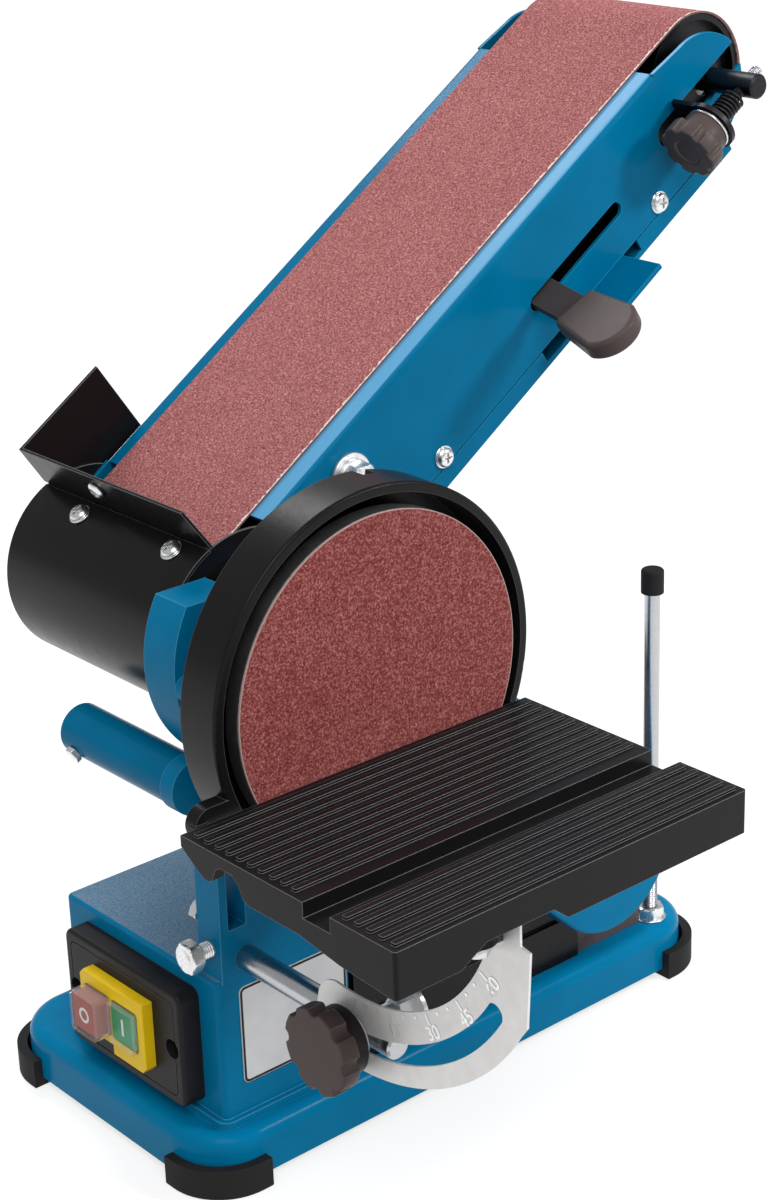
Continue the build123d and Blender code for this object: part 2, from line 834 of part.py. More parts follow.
# Protractor: slotted arc under the table, with a front arm and a flange to the table
with BuildLine() as slot_line:
    CenterArc(
        tilt_axis,
        slot_radius,
        270 - slot_end_angle,
        slot_end_angle - slot_start_angle,
    )

with BuildPart() as protractor:
    with BuildSketch(side_plane(protractor_left)):
        with Locations(tilt_axis):
            Circle(protractor_outer)
        arc_wedge = [
            (tilt_axis[0] - 300 * sin(radians(angle)), tilt_axis[1] - 300 * cos(radians(angle)))
            for angle in (protractor_tail_angle, 25, protractor_front_angle)
        ]
        Polygon(tilt_axis, *arc_wedge, align=None, mode=Mode.INTERSECT)
        Polygon(
            (-122.3, -99.2),
            (-126.5, -93.5),
            (-128.7, -59.5),
            (-123.3, -58.4),
            (-123.3, plate_under - 0.2),
            (-114.0, plate_under - 0.2),
            (-114.0, boss_under - protractor_sheet),
            (-99.0, boss_under - protractor_sheet),
            (-90.0, -84),
            (-108, -96),
            align=None,
        )
        with Locations((tilt_axis[0] + protractor_inner_shift, tilt_axis[1])):
            Circle(protractor_inner, mode=Mode.SUBTRACT)
        fillet(vertices().sort_by(Axis.X)[-2:], tail_rounding)
        SlotArc(slot_line.wire(), slot_width, mode=Mode.SUBTRACT)
    extrude(amount=protractor_sheet)
    with BuildSketch(top_plane(boss_under - protractor_sheet)):
        rectangle_between((flange_left, -114), (protractor_left + protractor_sheet, -99))
        with Locations(boss_place):
            Circle(flange_screw_radius + 0.1, mode=Mode.SUBTRACT)
    extrude(amount=protractor_sheet)
save(protractor, "protractor")

with BuildPart() as protractor_screws:
    flange_under = boss_under - protractor_sheet
    with BuildSketch(top_plane(flange_under - 4.5)):
        with Locations(boss_place):
            RegularPolygon(5.5, 6)
    extrude(amount=4.5)
    with BuildSketch(top_plane(flange_under)):
        with Locations(boss_place):
            Circle(flange_screw_radius - 0.05)
    extrude(amount=14)
save(protractor_screws, "protractor_screws")

# Table rod and the bolts that clamp it in the upright
with BuildPart() as table_rod:
    with BuildSketch(front_plane(rod_back)):
        with Locations((rod_x, rod_z)):
            Circle(rod_radius)
    extrude(amount=rod_back - rod_front)
    chamfer(table_rod.edges().filter_by(GeomType.CIRCLE), 1)
    with BuildSketch(side_plane(rod_x - rod_radius)):
        with Locations((tilt_bolt_y, rod_z)):
            Circle(tilt_bolt_radius + running_gap)
    extrude(amount=2 * rod_radius, mode=Mode.SUBTRACT)
save(table_rod, "table_rod")

with BuildPart() as rod_clamp_bolts:
    head_left = upright_left - 15
    with BuildSketch(side_plane(head_left)):
        with Locations(clamp_bolt_place):
            RegularPolygon(8, 6)
    extrude(amount=6)
    with BuildSketch(side_plane(head_left + 6)):
        with Locations(clamp_bolt_place):
            Circle(clamp_bolt_radius)
    extrude(amount=rod_x - rod_radius - 0.2 - head_left - 6)
    with BuildSketch(front_plane(upright_rear + 5)):
        with Locations((-40, -125)):
            RegularPolygon(6.5, 6)
    extrude(amount=5)
save(rod_clamp_bolts, "rod_clamp_bolts")

# Tilt knob with its bolt, washers and nut
with BuildPart() as tilt_knob:
    with BuildSketch(side_plane(tilt_knob_left)):
        with Locations((tilt_bolt_y, rod_z)):
            lobed_knob(tilt_knob_radius, 8)
    extrude(amount=tilt_knob_length)
    fillet(tilt_knob.faces().sort_by(Axis.X)[0].edges(), 1.2)
    with BuildSketch(side_plane(tilt_knob_left + tilt_knob_length)):
        with Locations((tilt_bolt_y, rod_z)):
            Circle(tilt_hub_radius)
    extrude(amount=tilt_knob_end - tilt_knob_left - tilt_knob_length)
    with BuildSketch(side_plane(tilt_knob_left + 5)):
        with Locations((tilt_bolt_y, rod_z)):
            Circle(tilt_bolt_radius + 0.02)
    extrude(amount=tilt_knob_end - tilt_knob_left, mode=Mode.SUBTRACT)
save(tilt_knob, "tilt_knob")

with BuildPart() as tilt_bolt:
    bolt_start = tilt_knob_left + 5.2
    rod_right = rod_x + rod_radius
    with BuildSketch(side_plane(bolt_start)):
        with Locations((tilt_bolt_y, rod_z)):
            Circle(tilt_bolt_radius)
    extrude(amount=tilt_nut_end - bolt_start)
    for washer_start, washer_radius in ((protractor_left - 2.4, 12.2), (tilt_nut_end - 3.5, 11)):
        with BuildSketch(side_plane(washer_start)):
            with Locations((tilt_bolt_y, rod_z)):
                Circle(washer_radius)
        extrude(amount=2)
    with BuildSketch(side_plane(rod_right + 0.4)):
        with Locations((tilt_bolt_y, rod_z)):
            Circle(6)
    extrude(amount=tilt_nut_end - 12 - rod_right - 0.4)
    with BuildSketch(side_plane(tilt_nut_end - 12)):
        with Locations((tilt_bolt_y, rod_z)):
            RegularPolygon(7.5, 6)
    extrude(amount=8.5)
save(tilt_bolt, "tilt_bolt")

# Socket tube: holds the table rod for work at the belt, with a set screw
with BuildPart() as socket_tube:
    with BuildSketch(front_plane(socket_far)):
        with Locations((socket_x, socket_z)):
            Circle(socket_radius)
            Circle(socket_bore, mode=Mode.SUBTRACT)
    extrude(amount=socket_far - upright_rear - 0.1)
    with BuildSketch(set_screw_plane(socket_bore)):
        Circle(2.5)
    extrude(amount=socket_radius, mode=Mode.SUBTRACT)
save(socket_tube, "socket_tube")

with BuildPart() as socket_set_screw:
    with BuildSketch(set_screw_plane(socket_bore + 0.3)):
        Circle(2.4)
    extrude(amount=socket_radius - socket_bore)
    with BuildSketch(set_screw_plane(socket_radius + 0.1)):
        RegularPolygon(4.2, 6)
    extrude(amount=2.6)
save(socket_set_screw, "socket_set_screw")

# Support rod: carries the arm's tab when the arm lies level
with BuildPart() as support_rod:
    with BuildSketch(top_plane(tray_top - 12)):
        with Locations((support_x, support_y)):
            Circle(support_radius)
    extrude(amount=support_top - 5 - tray_top + 12)
save(support_rod, "support_rod")

with BuildPart() as support_rod_nut:
    with BuildSketch(top_plane(tray_top)):
        with Locations((support_x, support_y)):
            RegularPolygon(7.5, 6)
            Circle(support_radius + running_gap, mode=Mode.SUBTRACT)
    extrude(amount=7)
save(support_rod_nut, "support_rod_nut")

with BuildPart() as support_rod_cap:
    with BuildSketch(top_plane(support_top - cap_length)):
        with Locations((support_x, support_y)):
            Circle(cap_radius)
    extrude(amount=cap_length)
    fillet(support_rod_cap.faces().sort_by(Axis.Z)[-1].edges(), 1.5)
    with BuildSketch(top_plane(support_top - cap_length)):
        with Locations((support_x, support_y)):
            Circle(support_radius + running_gap)
    extrude(amount=cap_length - 4.8, mode=Mode.SUBTRACT)
save(support_rod_cap, "support_rod_cap")

# Spindle: shaft, disc plate with its hub, abrasive disc and drive drum
with BuildPart() as spindle_shaft:
    with BuildSketch(front_plane(shaft_far)):
        Circle(shaft_radius)
    extrude(amount=shaft_far - disc_back - 0.2)
save(spindle_shaft, "spindle_shaft")

with BuildPart() as disc_plate:
    with BuildSketch(front_plane(disc_back)):
        Circle(disc_radius)
    extrude(amount=disc_back - paper_thickness)
    with BuildSketch(front_plane(disc_back + 22)):
        Circle(18)
        Circle(shaft_radius + 0.02, mode=Mode.SUBTRACT)
    extrude(amount=22)
save(disc_plate, "disc_plate")

with BuildPart() as abrasive_disc:
    with BuildSketch(front_plane(paper_thickness)):
        Circle(disc_radius)
    extrude(amount=paper_thickness)
save(abrasive_disc, "abrasive_disc")

with BuildPart() as drive_drum:
    with BuildSketch(front_plane(belt_far - 1)):
        Circle(drum_radius)
        Circle(shaft_radius + 0.02, mode=Mode.SUBTRACT)
    extrude(amount=belt_width - 2)
    for recess_back in (belt_far - 1, belt_near + 1 + 44):
        with BuildSketch(front_plane(recess_back)):
            Circle(drum_radius - 4)
            Circle(shaft_radius + 4, mode=Mode.SUBTRACT)
        extrude(amount=44, mode=Mode.SUBTRACT)
save(drive_drum, "drive_drum")


def arm_side_outline():
    """Side plate of the belt frame, from the spindle to the rounded nose."""
    with BuildLine() as side_line:
        Polyline(
            (cover_end, frame_bottom),
            (0, frame_bottom),
            (0, 29),
            (strip_start, frame_top),
            (strip_end, frame_top),
            (nose_start, 28.5),
        )
        ThreePointArc((nose_start, 28.5), (371, 19.5), (nose_end, 2))
        ThreePointArc((nose_end, 2), (372, -17), (cover_end, frame_bottom))
    make_face(side_line.edges())
    Circle(28.4)


# Belt frame: folded sheet with the platen on top, two side plates and a rest tab
with BuildPart() as belt_frame:
    with BuildSketch(arm_plane(frame_near + sheet)):
        arm_side_outline()
        Circle(sleeve_radius + running_gap, mode=Mode.SUBTRACT)
        with Locations(lock_place):
            Circle(4.05, mode=Mode.SUBTRACT)
        with Locations(*cover_screw_places):
            Circle(2.55, mode=Mode.SUBTRACT)
        with Locations(((lever_slot_low + lever_slot_high) / 2, lever_level + lever_thickness / 2)):
            SlotOverall(lever_slot_high - lever_slot_low, 8, mode=Mode.SUBTRACT)
        with Locations((shaft_slot_start, 0)):
            Circle(shaft_slot_half, mode=Mode.SUBTRACT)
        rectangle_between(
            (shaft_slot_start, -shaft_slot_half), (nose_end + 1, shaft_slot_half), mode=Mode.SUBTRACT
        )
    extrude(amount=sheet)
    with BuildSketch(arm_plane(frame_far)):
        arm_side_outline()
        Circle(15.05, mode=Mode.SUBTRACT)
        with Locations(*cover_screw_places):
            Circle(2.55, mode=Mode.SUBTRACT)
    extrude(amount=sheet)
    with BuildSketch(belt_plane(frame_top - sheet)):
        rectangle_between((strip_start, frame_near), (strip_end, frame_far))
    extrude(amount=sheet)
    with BuildSketch(belt_plane(frame_bottom - sheet)):
        rectangle_between((tab_start, frame_near - tab_reach), (tab_end, frame_near + sheet))
    extrude(amount=sheet + 0.5)
    fold_level = frame_top - fold_radius
    for fold_outside, fold_middle in (
        (frame_near - 1, frame_near + fold_radius),
        (frame_far + 1, frame_far - fold_radius),
    ):
        with BuildSketch(cross_plane(strip_start)):
            Polygon(
                (fold_outside, fold_level),
                (fold_middle, fold_level),
                (fold_middle, frame_top + 1),
                (fold_outside, frame_top + 1),
                align=None,
            )
            with Locations((fold_middle, fold_level)):
                Circle(fold_radius, mode=Mode.SUBTRACT)
        extrude(amount=strip_end - strip_start, mode=Mode.SUBTRACT)
save(belt_frame, "belt_frame")

# Bottom cover: closes the arm below the belt, with tabs for its screws
with BuildPart() as bottom_cover:
    flange_top = frame_bottom - 0.8
    with BuildSketch(belt_plane(cover_bottom)):
        rectangle_between((cover_start, frame_near), (cover_end, frame_far))
    extrude(amount=cover_sheet)
    with BuildSketch(belt_plane(cover_bottom)):
        rectangle_between((cover_start, frame_near), (cover_end, frame_near + cover_sheet))
        rectangle_between((cover_start, frame_far - cover_sheet), (cover_end, frame_far))
    extrude(amount=flange_top - cover_bottom)
    with BuildSketch(belt_plane(cover_cut_bottom)):
        rectangle_between(
            (cover_cut_start, frame_near - 1), (cover_cut_end, frame_near + cover_sheet + 1)
        )
    extrude(amount=10, mode=Mode.SUBTRACT)
    with BuildSketch(belt_plane(cover_bottom)):
        for along, level in cover_screw_places:
            for tab_y in (frame_near + sheet + 0.2, frame_far - sheet - 0.2 - cover_sheet):
                rectangle_between((along - 8, tab_y), (along + 8, tab_y + cover_sheet))
    extrude(amount=20)
    with BuildSketch(arm_plane(frame_far)):
        with Locations(*cover_screw_places):
            Circle(2.55)
    extrude(amount=frame_far - frame_near, mode=Mode.SUBTRACT)
save(bottom_cover, "bottom_cover")

with BuildPart() as cover_screws:
    for head_back, shank_back in ((frame_near, frame_near + 5), (frame_far + 2.8, frame_far)):
        with BuildSketch(arm_plane(head_back)):
            with Locations(*cover_screw_places):
                Circle(5.5)
        extrude(amount=2.8)
        with BuildSketch(arm_plane(shank_back)):
            with Locations(*cover_screw_places):
                Circle(2.5)
        extrude(amount=5)
save(cover_screws, "cover_screws")

# Drum guard: curved sheet round the lower drum with a cheek at each end
with BuildPart() as drum_guard:
    with BuildSketch(arm_plane(cheek_far)):
        Circle(guard_drum_radius)
        Circle(guard_drum_radius - guard_sheet, mode=Mode.SUBTRACT)
        rectangle_between((guard_drum_mouth, -60), (60, 60), mode=Mode.SUBTRACT)
    extrude(amount=cheek_far - cheek_near)
    for cheek_back, hole in ((cheek_near + 1.8, sleeve_radius + 2), (cheek_far, 16)):
        with BuildSketch(arm_plane(cheek_back)):
            Circle(guard_drum_radius - 0.5)
            Circle(hole, mode=Mode.SUBTRACT)
            rectangle_between((cheek_end, -60), (60, 60), mode=Mode.SUBTRACT)
        extrude(amount=1.2)
save(drum_guard, "drum_guard")

# Work stop: bent plate across the belt with a side flange; its foot lies inside the drum guard
with BuildPart() as work_stop:
    stop_foot = guard_drum_radius - guard_sheet - 1.0
    stop_back = stop_face - stop_sheet
    with BuildSketch(cross_plane(stop_back)):
        Polygon(
            (stop_near, guard_drum_radius + 0.2),
            (frame_near, stop_top),
            (stop_side, stop_top),
            (stop_side, guard_drum_radius + 0.2),
            align=None,
        )
    extrude(amount=stop_sheet)
    with BuildSketch(arm_plane(cheek_far - 2)):
        rectangle_between((-8, stop_foot - stop_sheet), (stop_face, stop_foot))
        rectangle_between((stop_back, stop_foot - stop_sheet), (stop_face, guard_drum_radius + 1))
    extrude(amount=cheek_far - 2 - frame_near)
    with BuildSketch(arm_plane(stop_side)):
        Polygon(
            (stop_back, guard_drum_radius + 0.2),
            (stop_back, stop_top),
            (stop_flange_end, stop_top),
            (stop_flange_end, stop_flange_under),
            (20, stop_flange_under),
            align=None,
        )
    extrude(amount=stop_sheet)
save(work_stop, "work_stop")

with BuildPart() as stop_screws:
    with BuildSketch(belt_plane(guard_drum_radius + 0.05)):
        with Locations((-2, 177), (-1, 108)):
            Circle(4.6)
    extrude(amount=2.6)
    fillet(stop_screws.faces().filter_by(Plane.XY.rotated((0, -arm_angle, 0))).edges(), 0.6)
    with BuildSketch(cross_plane(stop_back - 2.6)):
        with Locations((160, 60)):
            Circle(4.6)
    extrude(amount=2.6)
save(stop_screws, "stop_screws")

# Sanding belt: the closed loop over both drums
with BuildPart() as sanding_belt:
    with BuildSketch(arm_plane(belt_far)):
        with Locations((drum_distance / 2, 0)):
            SlotCenterToCenter(drum_distance, 2 * belt_outer)
            SlotCenterToCenter(drum_distance, 2 * belt_inner, mode=Mode.SUBTRACT)
    extrude(amount=belt_width)
save(sanding_belt, "sanding_belt")

# Arm clamp: collar on the bearing sleeve that the lock bolt draws tight
with BuildPart() as arm_clamp:
    with BuildSketch(arm_plane(clamp_back)):
        Circle(28)
        rectangle_between((18, 4), (96, 22))
        Circle(sleeve_radius + running_gap, mode=Mode.SUBTRACT)
        with Locations(lock_place):
            Circle(4.05, mode=Mode.SUBTRACT)
    extrude(amount=clamp_back - frame_near - sheet - 0.3)
save(arm_clamp, "arm_clamp")

with BuildPart() as arm_lock_bolt:
    with BuildSketch(arm_plane(frame_near)):
        with Locations(lock_place):
            Circle(10.9)
    extrude(amount=2.2)
    with BuildSketch(arm_plane(frame_near - 2.2)):
        with Locations(lock_place):
            Circle(8.4)
    extrude(amount=2.3)
    with BuildSketch(arm_plane(frame_near - 4.5)):
        with Locations(lock_place):
            RegularPolygon(8, 6)
    extrude(amount=7)
    with BuildSketch(arm_plane(clamp_back)):
        with Locations(lock_place):
            Circle(4)
    extrude(amount=clamp_back - frame_near)
save(arm_lock_bolt, "arm_lock_bolt")

# Far bearing: carries the spindle's far end in the arm
with BuildPart() as far_bearing:
    with BuildSketch(arm_plane(frame_far + 1)):
        Circle(15)
        Circle(shaft_radius + running_gap, mode=Mode.SUBTRACT)
    extrude(amount=8)
save(far_bearing, "far_bearing")

# Tension lever: pin under the platen, flat bar through the slot, moulded grip
with BuildPart() as lever_pin:
    with BuildSketch(belt_plane(lever_level - 0.5)):
        with Locations(lever_pivot):
            Circle(4)
    extrude(amount=frame_top - sheet - lever_level + 0.5)
    with BuildSketch(belt_plane(lever_level - 2.5)):
        with Locations(lever_pivot):
            Circle(8)
    extrude(amount=2)
save(lever_pin, "lever_pin")

with BuildPart() as lever_bar:
    with BuildSketch(lever_plane(lever_level)):
        with Locations((lever_length / 2 - lever_width / 2, 0)):
            RectangleRounded(lever_length, lever_width, 4)
        Circle(4 + running_gap, mode=Mode.SUBTRACT)
    extrude(amount=lever_thickness)
save(lever_bar, "lever_bar")

with BuildPart() as lever_grip:
    with BuildSketch(lever_plane(lever_level - 3)):
        with BuildLine():
            Line((grip_start, 11.8), (grip_start, -11.8))
            Line((grip_start, -11.8), (grip_shoulder, -15))
            ThreePointArc((grip_shoulder, -15), (grip_end, 0), (grip_shoulder, 15))
            Line((grip_shoulder, 15), (grip_start, 11.8))
        make_face()
        fillet(vertices(), 3)
    extrude(amount=10)
    grip_faces = lever_grip.faces().sort_by(Axis((0, 0, 0), belt_normal))
    fillet(grip_faces[0].edges() + grip_faces[-1].edges(), 2.5)
    with BuildSketch(lever_plane(lever_level)):
        with Locations((lever_length / 2 - lever_width / 2, 0)):
            RectangleRounded(lever_length + 0.4, lever_width + 0.2, 4)
    extrude(amount=lever_thickness, mode=Mode.SUBTRACT)
save(lever_grip, "lever_grip")

# Idler carriage: bracket that slides in the arm, with an ear out through the slot
with BuildPart() as idler_carriage:
    near_arm = (95.0, 98.0)
    far_arm = (204.5, 208.5)
    arm_end = drum_distance + 10
    with BuildSketch(belt_plane(-9)):
        rectangle_between((beam_start, near_arm[0]), (beam_end, far_arm[1]))
        rectangle_between((beam_start, near_arm[0]), (arm_end, near_arm[1]))
        rectangle_between((beam_start, far_arm[0]), (arm_end, far_arm[1]))
    extrude(amount=18)
    with BuildSketch(cross_plane(ear_place)):
        rectangle_between((tracking_y, -5.4), (near_arm[1], 5.4))
        rectangle_between((tracking_y, -ear_radius + 0.6), (ear_back, ear_radius - 0.6))
        with Locations((tracking_y, 0)):
            Circle(ear_radius)
            Circle(tracking_screw_radius + 0.3, mode=Mode.SUBTRACT)
    extrude(amount=ear_sheet)
    with BuildSketch(arm_plane(near_arm[1])):
        rectangle_between(
            (drum_distance - 3, -idler_shaft_radius - 0.3), (arm_end + 1, idler_shaft_radius + 0.3)
        )
        with Locations((drum_distance - 3, 0)):
            Circle(idler_shaft_radius + 0.3)
    extrude(amount=near_arm[1] - near_arm[0], mode=Mode.SUBTRACT)
    with BuildSketch(arm_plane(far_arm[1])):
        with Locations((drum_distance, 0)):
            Circle(idler_shaft_radius + 0.3)
    extrude(amount=far_arm[1] - far_arm[0], mode=Mode.SUBTRACT)
save(idler_carriage, "idler_carriage")

# Idler shaft, drum and bearings
with BuildPart() as idler_shaft:
    with BuildSketch(arm_plane(idler_shaft_far)):
        with Locations((drum_distance, 0)):
            Circle(idler_shaft_radius)
    extrude(amount=idler_shaft_far - idler_shaft_near)
    chamfer(idler_shaft.edges().filter_by(GeomType.CIRCLE), 1)
    with BuildSketch(cross_plane(drum_distance - idler_shaft_radius)):
        with Locations((tracking_y, 0)):
            Circle(tracking_screw_radius + 0.3)
    extrude(amount=2 * idler_shaft_radius, mode=Mode.SUBTRACT)
save(idler_shaft, "idler_shaft")

with BuildPart() as idler_drum:
    bearing_radius = 12.0
    bearing_width = 8.0
    with BuildSketch(arm_plane(belt_far - 1)):
        with Locations((drum_distance, 0)):
            Circle(drum_radius)
            Circle(bearing_radius + 0.02, mode=Mode.SUBTRACT)
    extrude(amount=belt_width - 2)
    with BuildSketch(arm_plane(belt_far - 12)):
        with Locations((drum_distance, 0)):
            Circle(drum_radius - 4)
    extrude(amount=belt_width - 24, mode=Mode.SUBTRACT)
    for recess_back in (belt_far - 1, belt_near + 1 + 5):
        with BuildSketch(arm_plane(recess_back)):
            with Locations((drum_distance, 0)):
                Circle(drum_radius - 3)
                Circle(bearing_radius + 4, mode=Mode.SUBTRACT)
        extrude(amount=5, mode=Mode.SUBTRACT)
save(idler_drum, "idler_drum")

with BuildPart() as idler_bearings:
    for bearing_rear in (belt_far - 2, belt_near + 2 + bearing_width):
        with BuildSketch(arm_plane(bearing_rear)):
            with Locations((drum_distance, 0)):
                Circle(bearing_radius)
                Circle(idler_shaft_radius + running_gap, mode=Mode.SUBTRACT)
        extrude(amount=bearing_width)
save(idler_bearings, "idler_bearings")

# Tracking: lobed knob, screw with washer, and the spring between ear and shaft
with BuildPart() as tracking_knob:
    with BuildSketch(cross_plane(tracking_knob_start)):
        with Locations((tracking_y, 0)):
            lobed_knob(tracking_knob_radius, 8)
    extrude(amount=tracking_knob_length)
    with BuildSketch(cross_plane(tracking_knob_start + tracking_knob_length)):
        with Locations((tracking_y, 0)):
            Circle(tracking_hub_radius)
    extrude(amount=tracking_knob_end - tracking_knob_start - tracking_knob_length)
    with BuildSketch(cross_plane(tracking_knob_start)):
        with Locations((tracking_y, 0)):
            Circle(tracking_knob_radius / 2)
    extrude(amount=1, mode=Mode.SUBTRACT)
    with BuildSketch(cross_plane(tracking_knob_start + 5)):
        with Locations((tracking_y, 0)):
            Circle(tracking_screw_radius + 0.02)
    extrude(amount=tracking_knob_end - tracking_knob_start, mode=Mode.SUBTRACT)
save(tracking_knob, "tracking_knob")

with BuildPart() as tracking_screw:
    with BuildSketch(cross_plane(tracking_knob_start + 5.2)):
        with Locations((tracking_y, 0)):
            Circle(tracking_screw_radius)
    extrude(amount=drum_distance + 10.5 - tracking_knob_start - 5.2)
    with BuildSketch(cross_plane(ear_place - 1.7)):
        with Locations((tracking_y, 0)):
            Circle(11.5)
    extrude(amount=1.4)
save(tracking_screw, "tracking_screw")

with BuildPart() as tracking_spring:
    wire_radius = 0.8
    coil_radius = 5.0
    spring_start = ear_place + ear_sheet + wire_radius + 0.1
    spring_end = drum_distance - idler_shaft_radius - 3.1
    coils = 8
    for coil in range(coils):
        along = spring_start + coil * (spring_end - spring_start) / (coils - 1)
        with Locations(cross_plane(along).location):
            with Locations((tracking_y, 0, 0)):
                Torus(coil_radius, wire_radius)
save(tracking_spring, "tracking_spring")
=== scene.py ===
from math import cos, pi, radians, sin, sqrt

import bmesh
import bpy
from mathutils import Matrix, Vector


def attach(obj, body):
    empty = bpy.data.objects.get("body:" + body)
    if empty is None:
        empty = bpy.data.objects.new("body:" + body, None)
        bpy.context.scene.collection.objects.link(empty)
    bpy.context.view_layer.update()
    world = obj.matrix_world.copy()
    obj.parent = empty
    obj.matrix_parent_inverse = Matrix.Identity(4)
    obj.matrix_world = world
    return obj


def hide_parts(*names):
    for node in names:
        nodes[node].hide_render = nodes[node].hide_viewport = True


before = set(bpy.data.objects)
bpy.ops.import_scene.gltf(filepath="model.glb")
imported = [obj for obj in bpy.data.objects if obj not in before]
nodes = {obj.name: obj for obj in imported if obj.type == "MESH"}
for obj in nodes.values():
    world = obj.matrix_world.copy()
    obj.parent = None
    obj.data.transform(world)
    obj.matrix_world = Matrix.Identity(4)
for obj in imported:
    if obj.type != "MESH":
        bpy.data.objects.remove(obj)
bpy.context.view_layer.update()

# Spindle axis at the disc's sanding face, in millimetres; all other places are measured from it
AXIS_X = -110.98464
DISC_Y = -47.75
AXIS_Z = 256.0
DISC_RADIUS = 75.0

# Belt arm
ARM_ANGLE = radians(33.5)
DRUM_DISTANCE = 358.825
SIDE_NEAR = 91.0
SIDE_FAR = 213.0
BELT_NEAR = 102.0
COVER_SCREWS = ((126.0, -24.0), (298.0, -24.0))
GUARD_SCREWS = ((-2.0, 177.0), (-1.0, 108.0))
GUARD_RADIUS = 46.05
STOP_BACK = 6.5
STOP_SCREW = (160.0, 60.0)
LOCK_BOLT = (81.5, 11.5)
SCREW_WASHER = 0.6
SCREW_HEAD = 2.6

# Tracking knob, screw and spring
TRACKING_Y = 70.5
TRACKING_FACE = 310.5
TRACKING_LOBES_END = 319.5
TRACKING_HUB_END = 327.0
TRACKING_RADIUS = 14.8
TRACKING_HUB_RADIUS = 11.5
TRACKING_RECESS_RADIUS = 7.5
TRACKING_RECESS_DEPTH = 1.0
TRACKING_WASHER = 327.3
TRACKING_SCREW_START = 315.7
TRACKING_SCREW_END = DRUM_DISTANCE + 10.5
TRACKING_SCREW_RADIUS = 3.0
TRACKING_THREAD_START = 12.0
SPRING_START = 332.4
SPRING_END = DRUM_DISTANCE - 9.1

# Table tilt, protractor and tilt knob
TILT_AXIS_Y = -18.0
TILT_AXIS_Z = -37.0
SLOT_RADIUS = 107.0
REST_ANGLE = radians(0.5)
TILT_BOLT_Y = TILT_AXIS_Y - SLOT_RADIUS * sin(REST_ANGLE)
ROD_Z = TILT_AXIS_Z - SLOT_RADIUS * cos(REST_ANGLE)
TILT_KNOB_END = -42.6
TILT_KNOB_HUB = 8.4
TILT_KNOB_LENGTH = 17.4
TILT_KNOB_RADIUS = 20.0
TILT_HUB_RADIUS = 15.5
PROTRACTOR_FACE = -39.8
PROTRACTOR_INNER = 85.8
PROTRACTOR_SHIFT = 6.0
FLANGE_SCREW = (-47.0, -107.0, -60.7)

# Protractor scale: steps in degrees, and how far the marks stand from the inner edge
SCALE_ZERO = 3.0
SCALE_END = 60
DOT_STEP = 5
NUMBER_STEP = 15
DOT_OFFSET = 2.2
LINE_OFFSET = 3.6
NUMBER_OFFSET = 9.6
NUMBER_SIZE = 8.5

# Stand, switch and motor
CLAMP_BOLT = (-53.0, 72.5, ROD_Z + 6)
UPRIGHT_BOLT = (-40.0, 81.0, -125.0)
BOX_TOP = -152.0
SUPPORT_ROD = (233.5, 66.5)
TRAY_TOP = -227.0
SUPPORT_ROD_TOP = -36.2
START_Y = 114.4
STOP_Y = 136.0
BUTTON_Z = -188.0
START_FACE = -67.5
STOP_FACE = -74.0
SWITCH_SCREWS = ((-54.0, 86.3, -189.8), (-54.0, 162.3, -189.8))
PLATE_CENTRE = (-6.0, 63.4, -183.0)
PLATE_SIZE = (62.0, 50.0)
PLATE_CORNER = 3.0
MOTOR_LIT_PANEL_LEFT = 178.0

# Camera at the photograph's viewing angle
CAMERA_YAW = radians(-40.12)
CAMERA_PITCH = radians(21.79)
CAMERA_ROLL = radians(-1.98)
CAMERA_PLACE = (-606.8, -723.1, 414.8)
FOCAL_PIXELS = 2476.2
PICTURE_HEIGHT = 1200

ARM_DIRECTION = Vector((cos(ARM_ANGLE), 0, sin(ARM_ANGLE)))
BELT_NORMAL = Vector((-sin(ARM_ANGLE), 0, cos(ARM_ANGLE)))
RIGHT = Vector((1, 0, 0))
BACK = Vector((0, 1, 0))
UP = Vector((0, 0, 1))


def place(x, y, z):
    """Point in metres of the whole machine, given in millimetres from the spindle axis."""
    return Vector((x + AXIS_X, y + DISC_Y, z + AXIS_Z)) / 1000


def on_arm(along, y, level):
    """Point given along the arm, to the back and out of the belt."""
    return place(0, y, 0) + (ARM_DIRECTION * along + BELT_NORMAL * level) / 1000


# In metres: the spindle axis measured out of the belt, and the belt's near edge measured to the back
ARM_LEVEL = BELT_NORMAL.dot(place(0, 0, 0))
NEAR_EDGE = (BELT_NEAR + DISC_Y) / 1000


# Materials


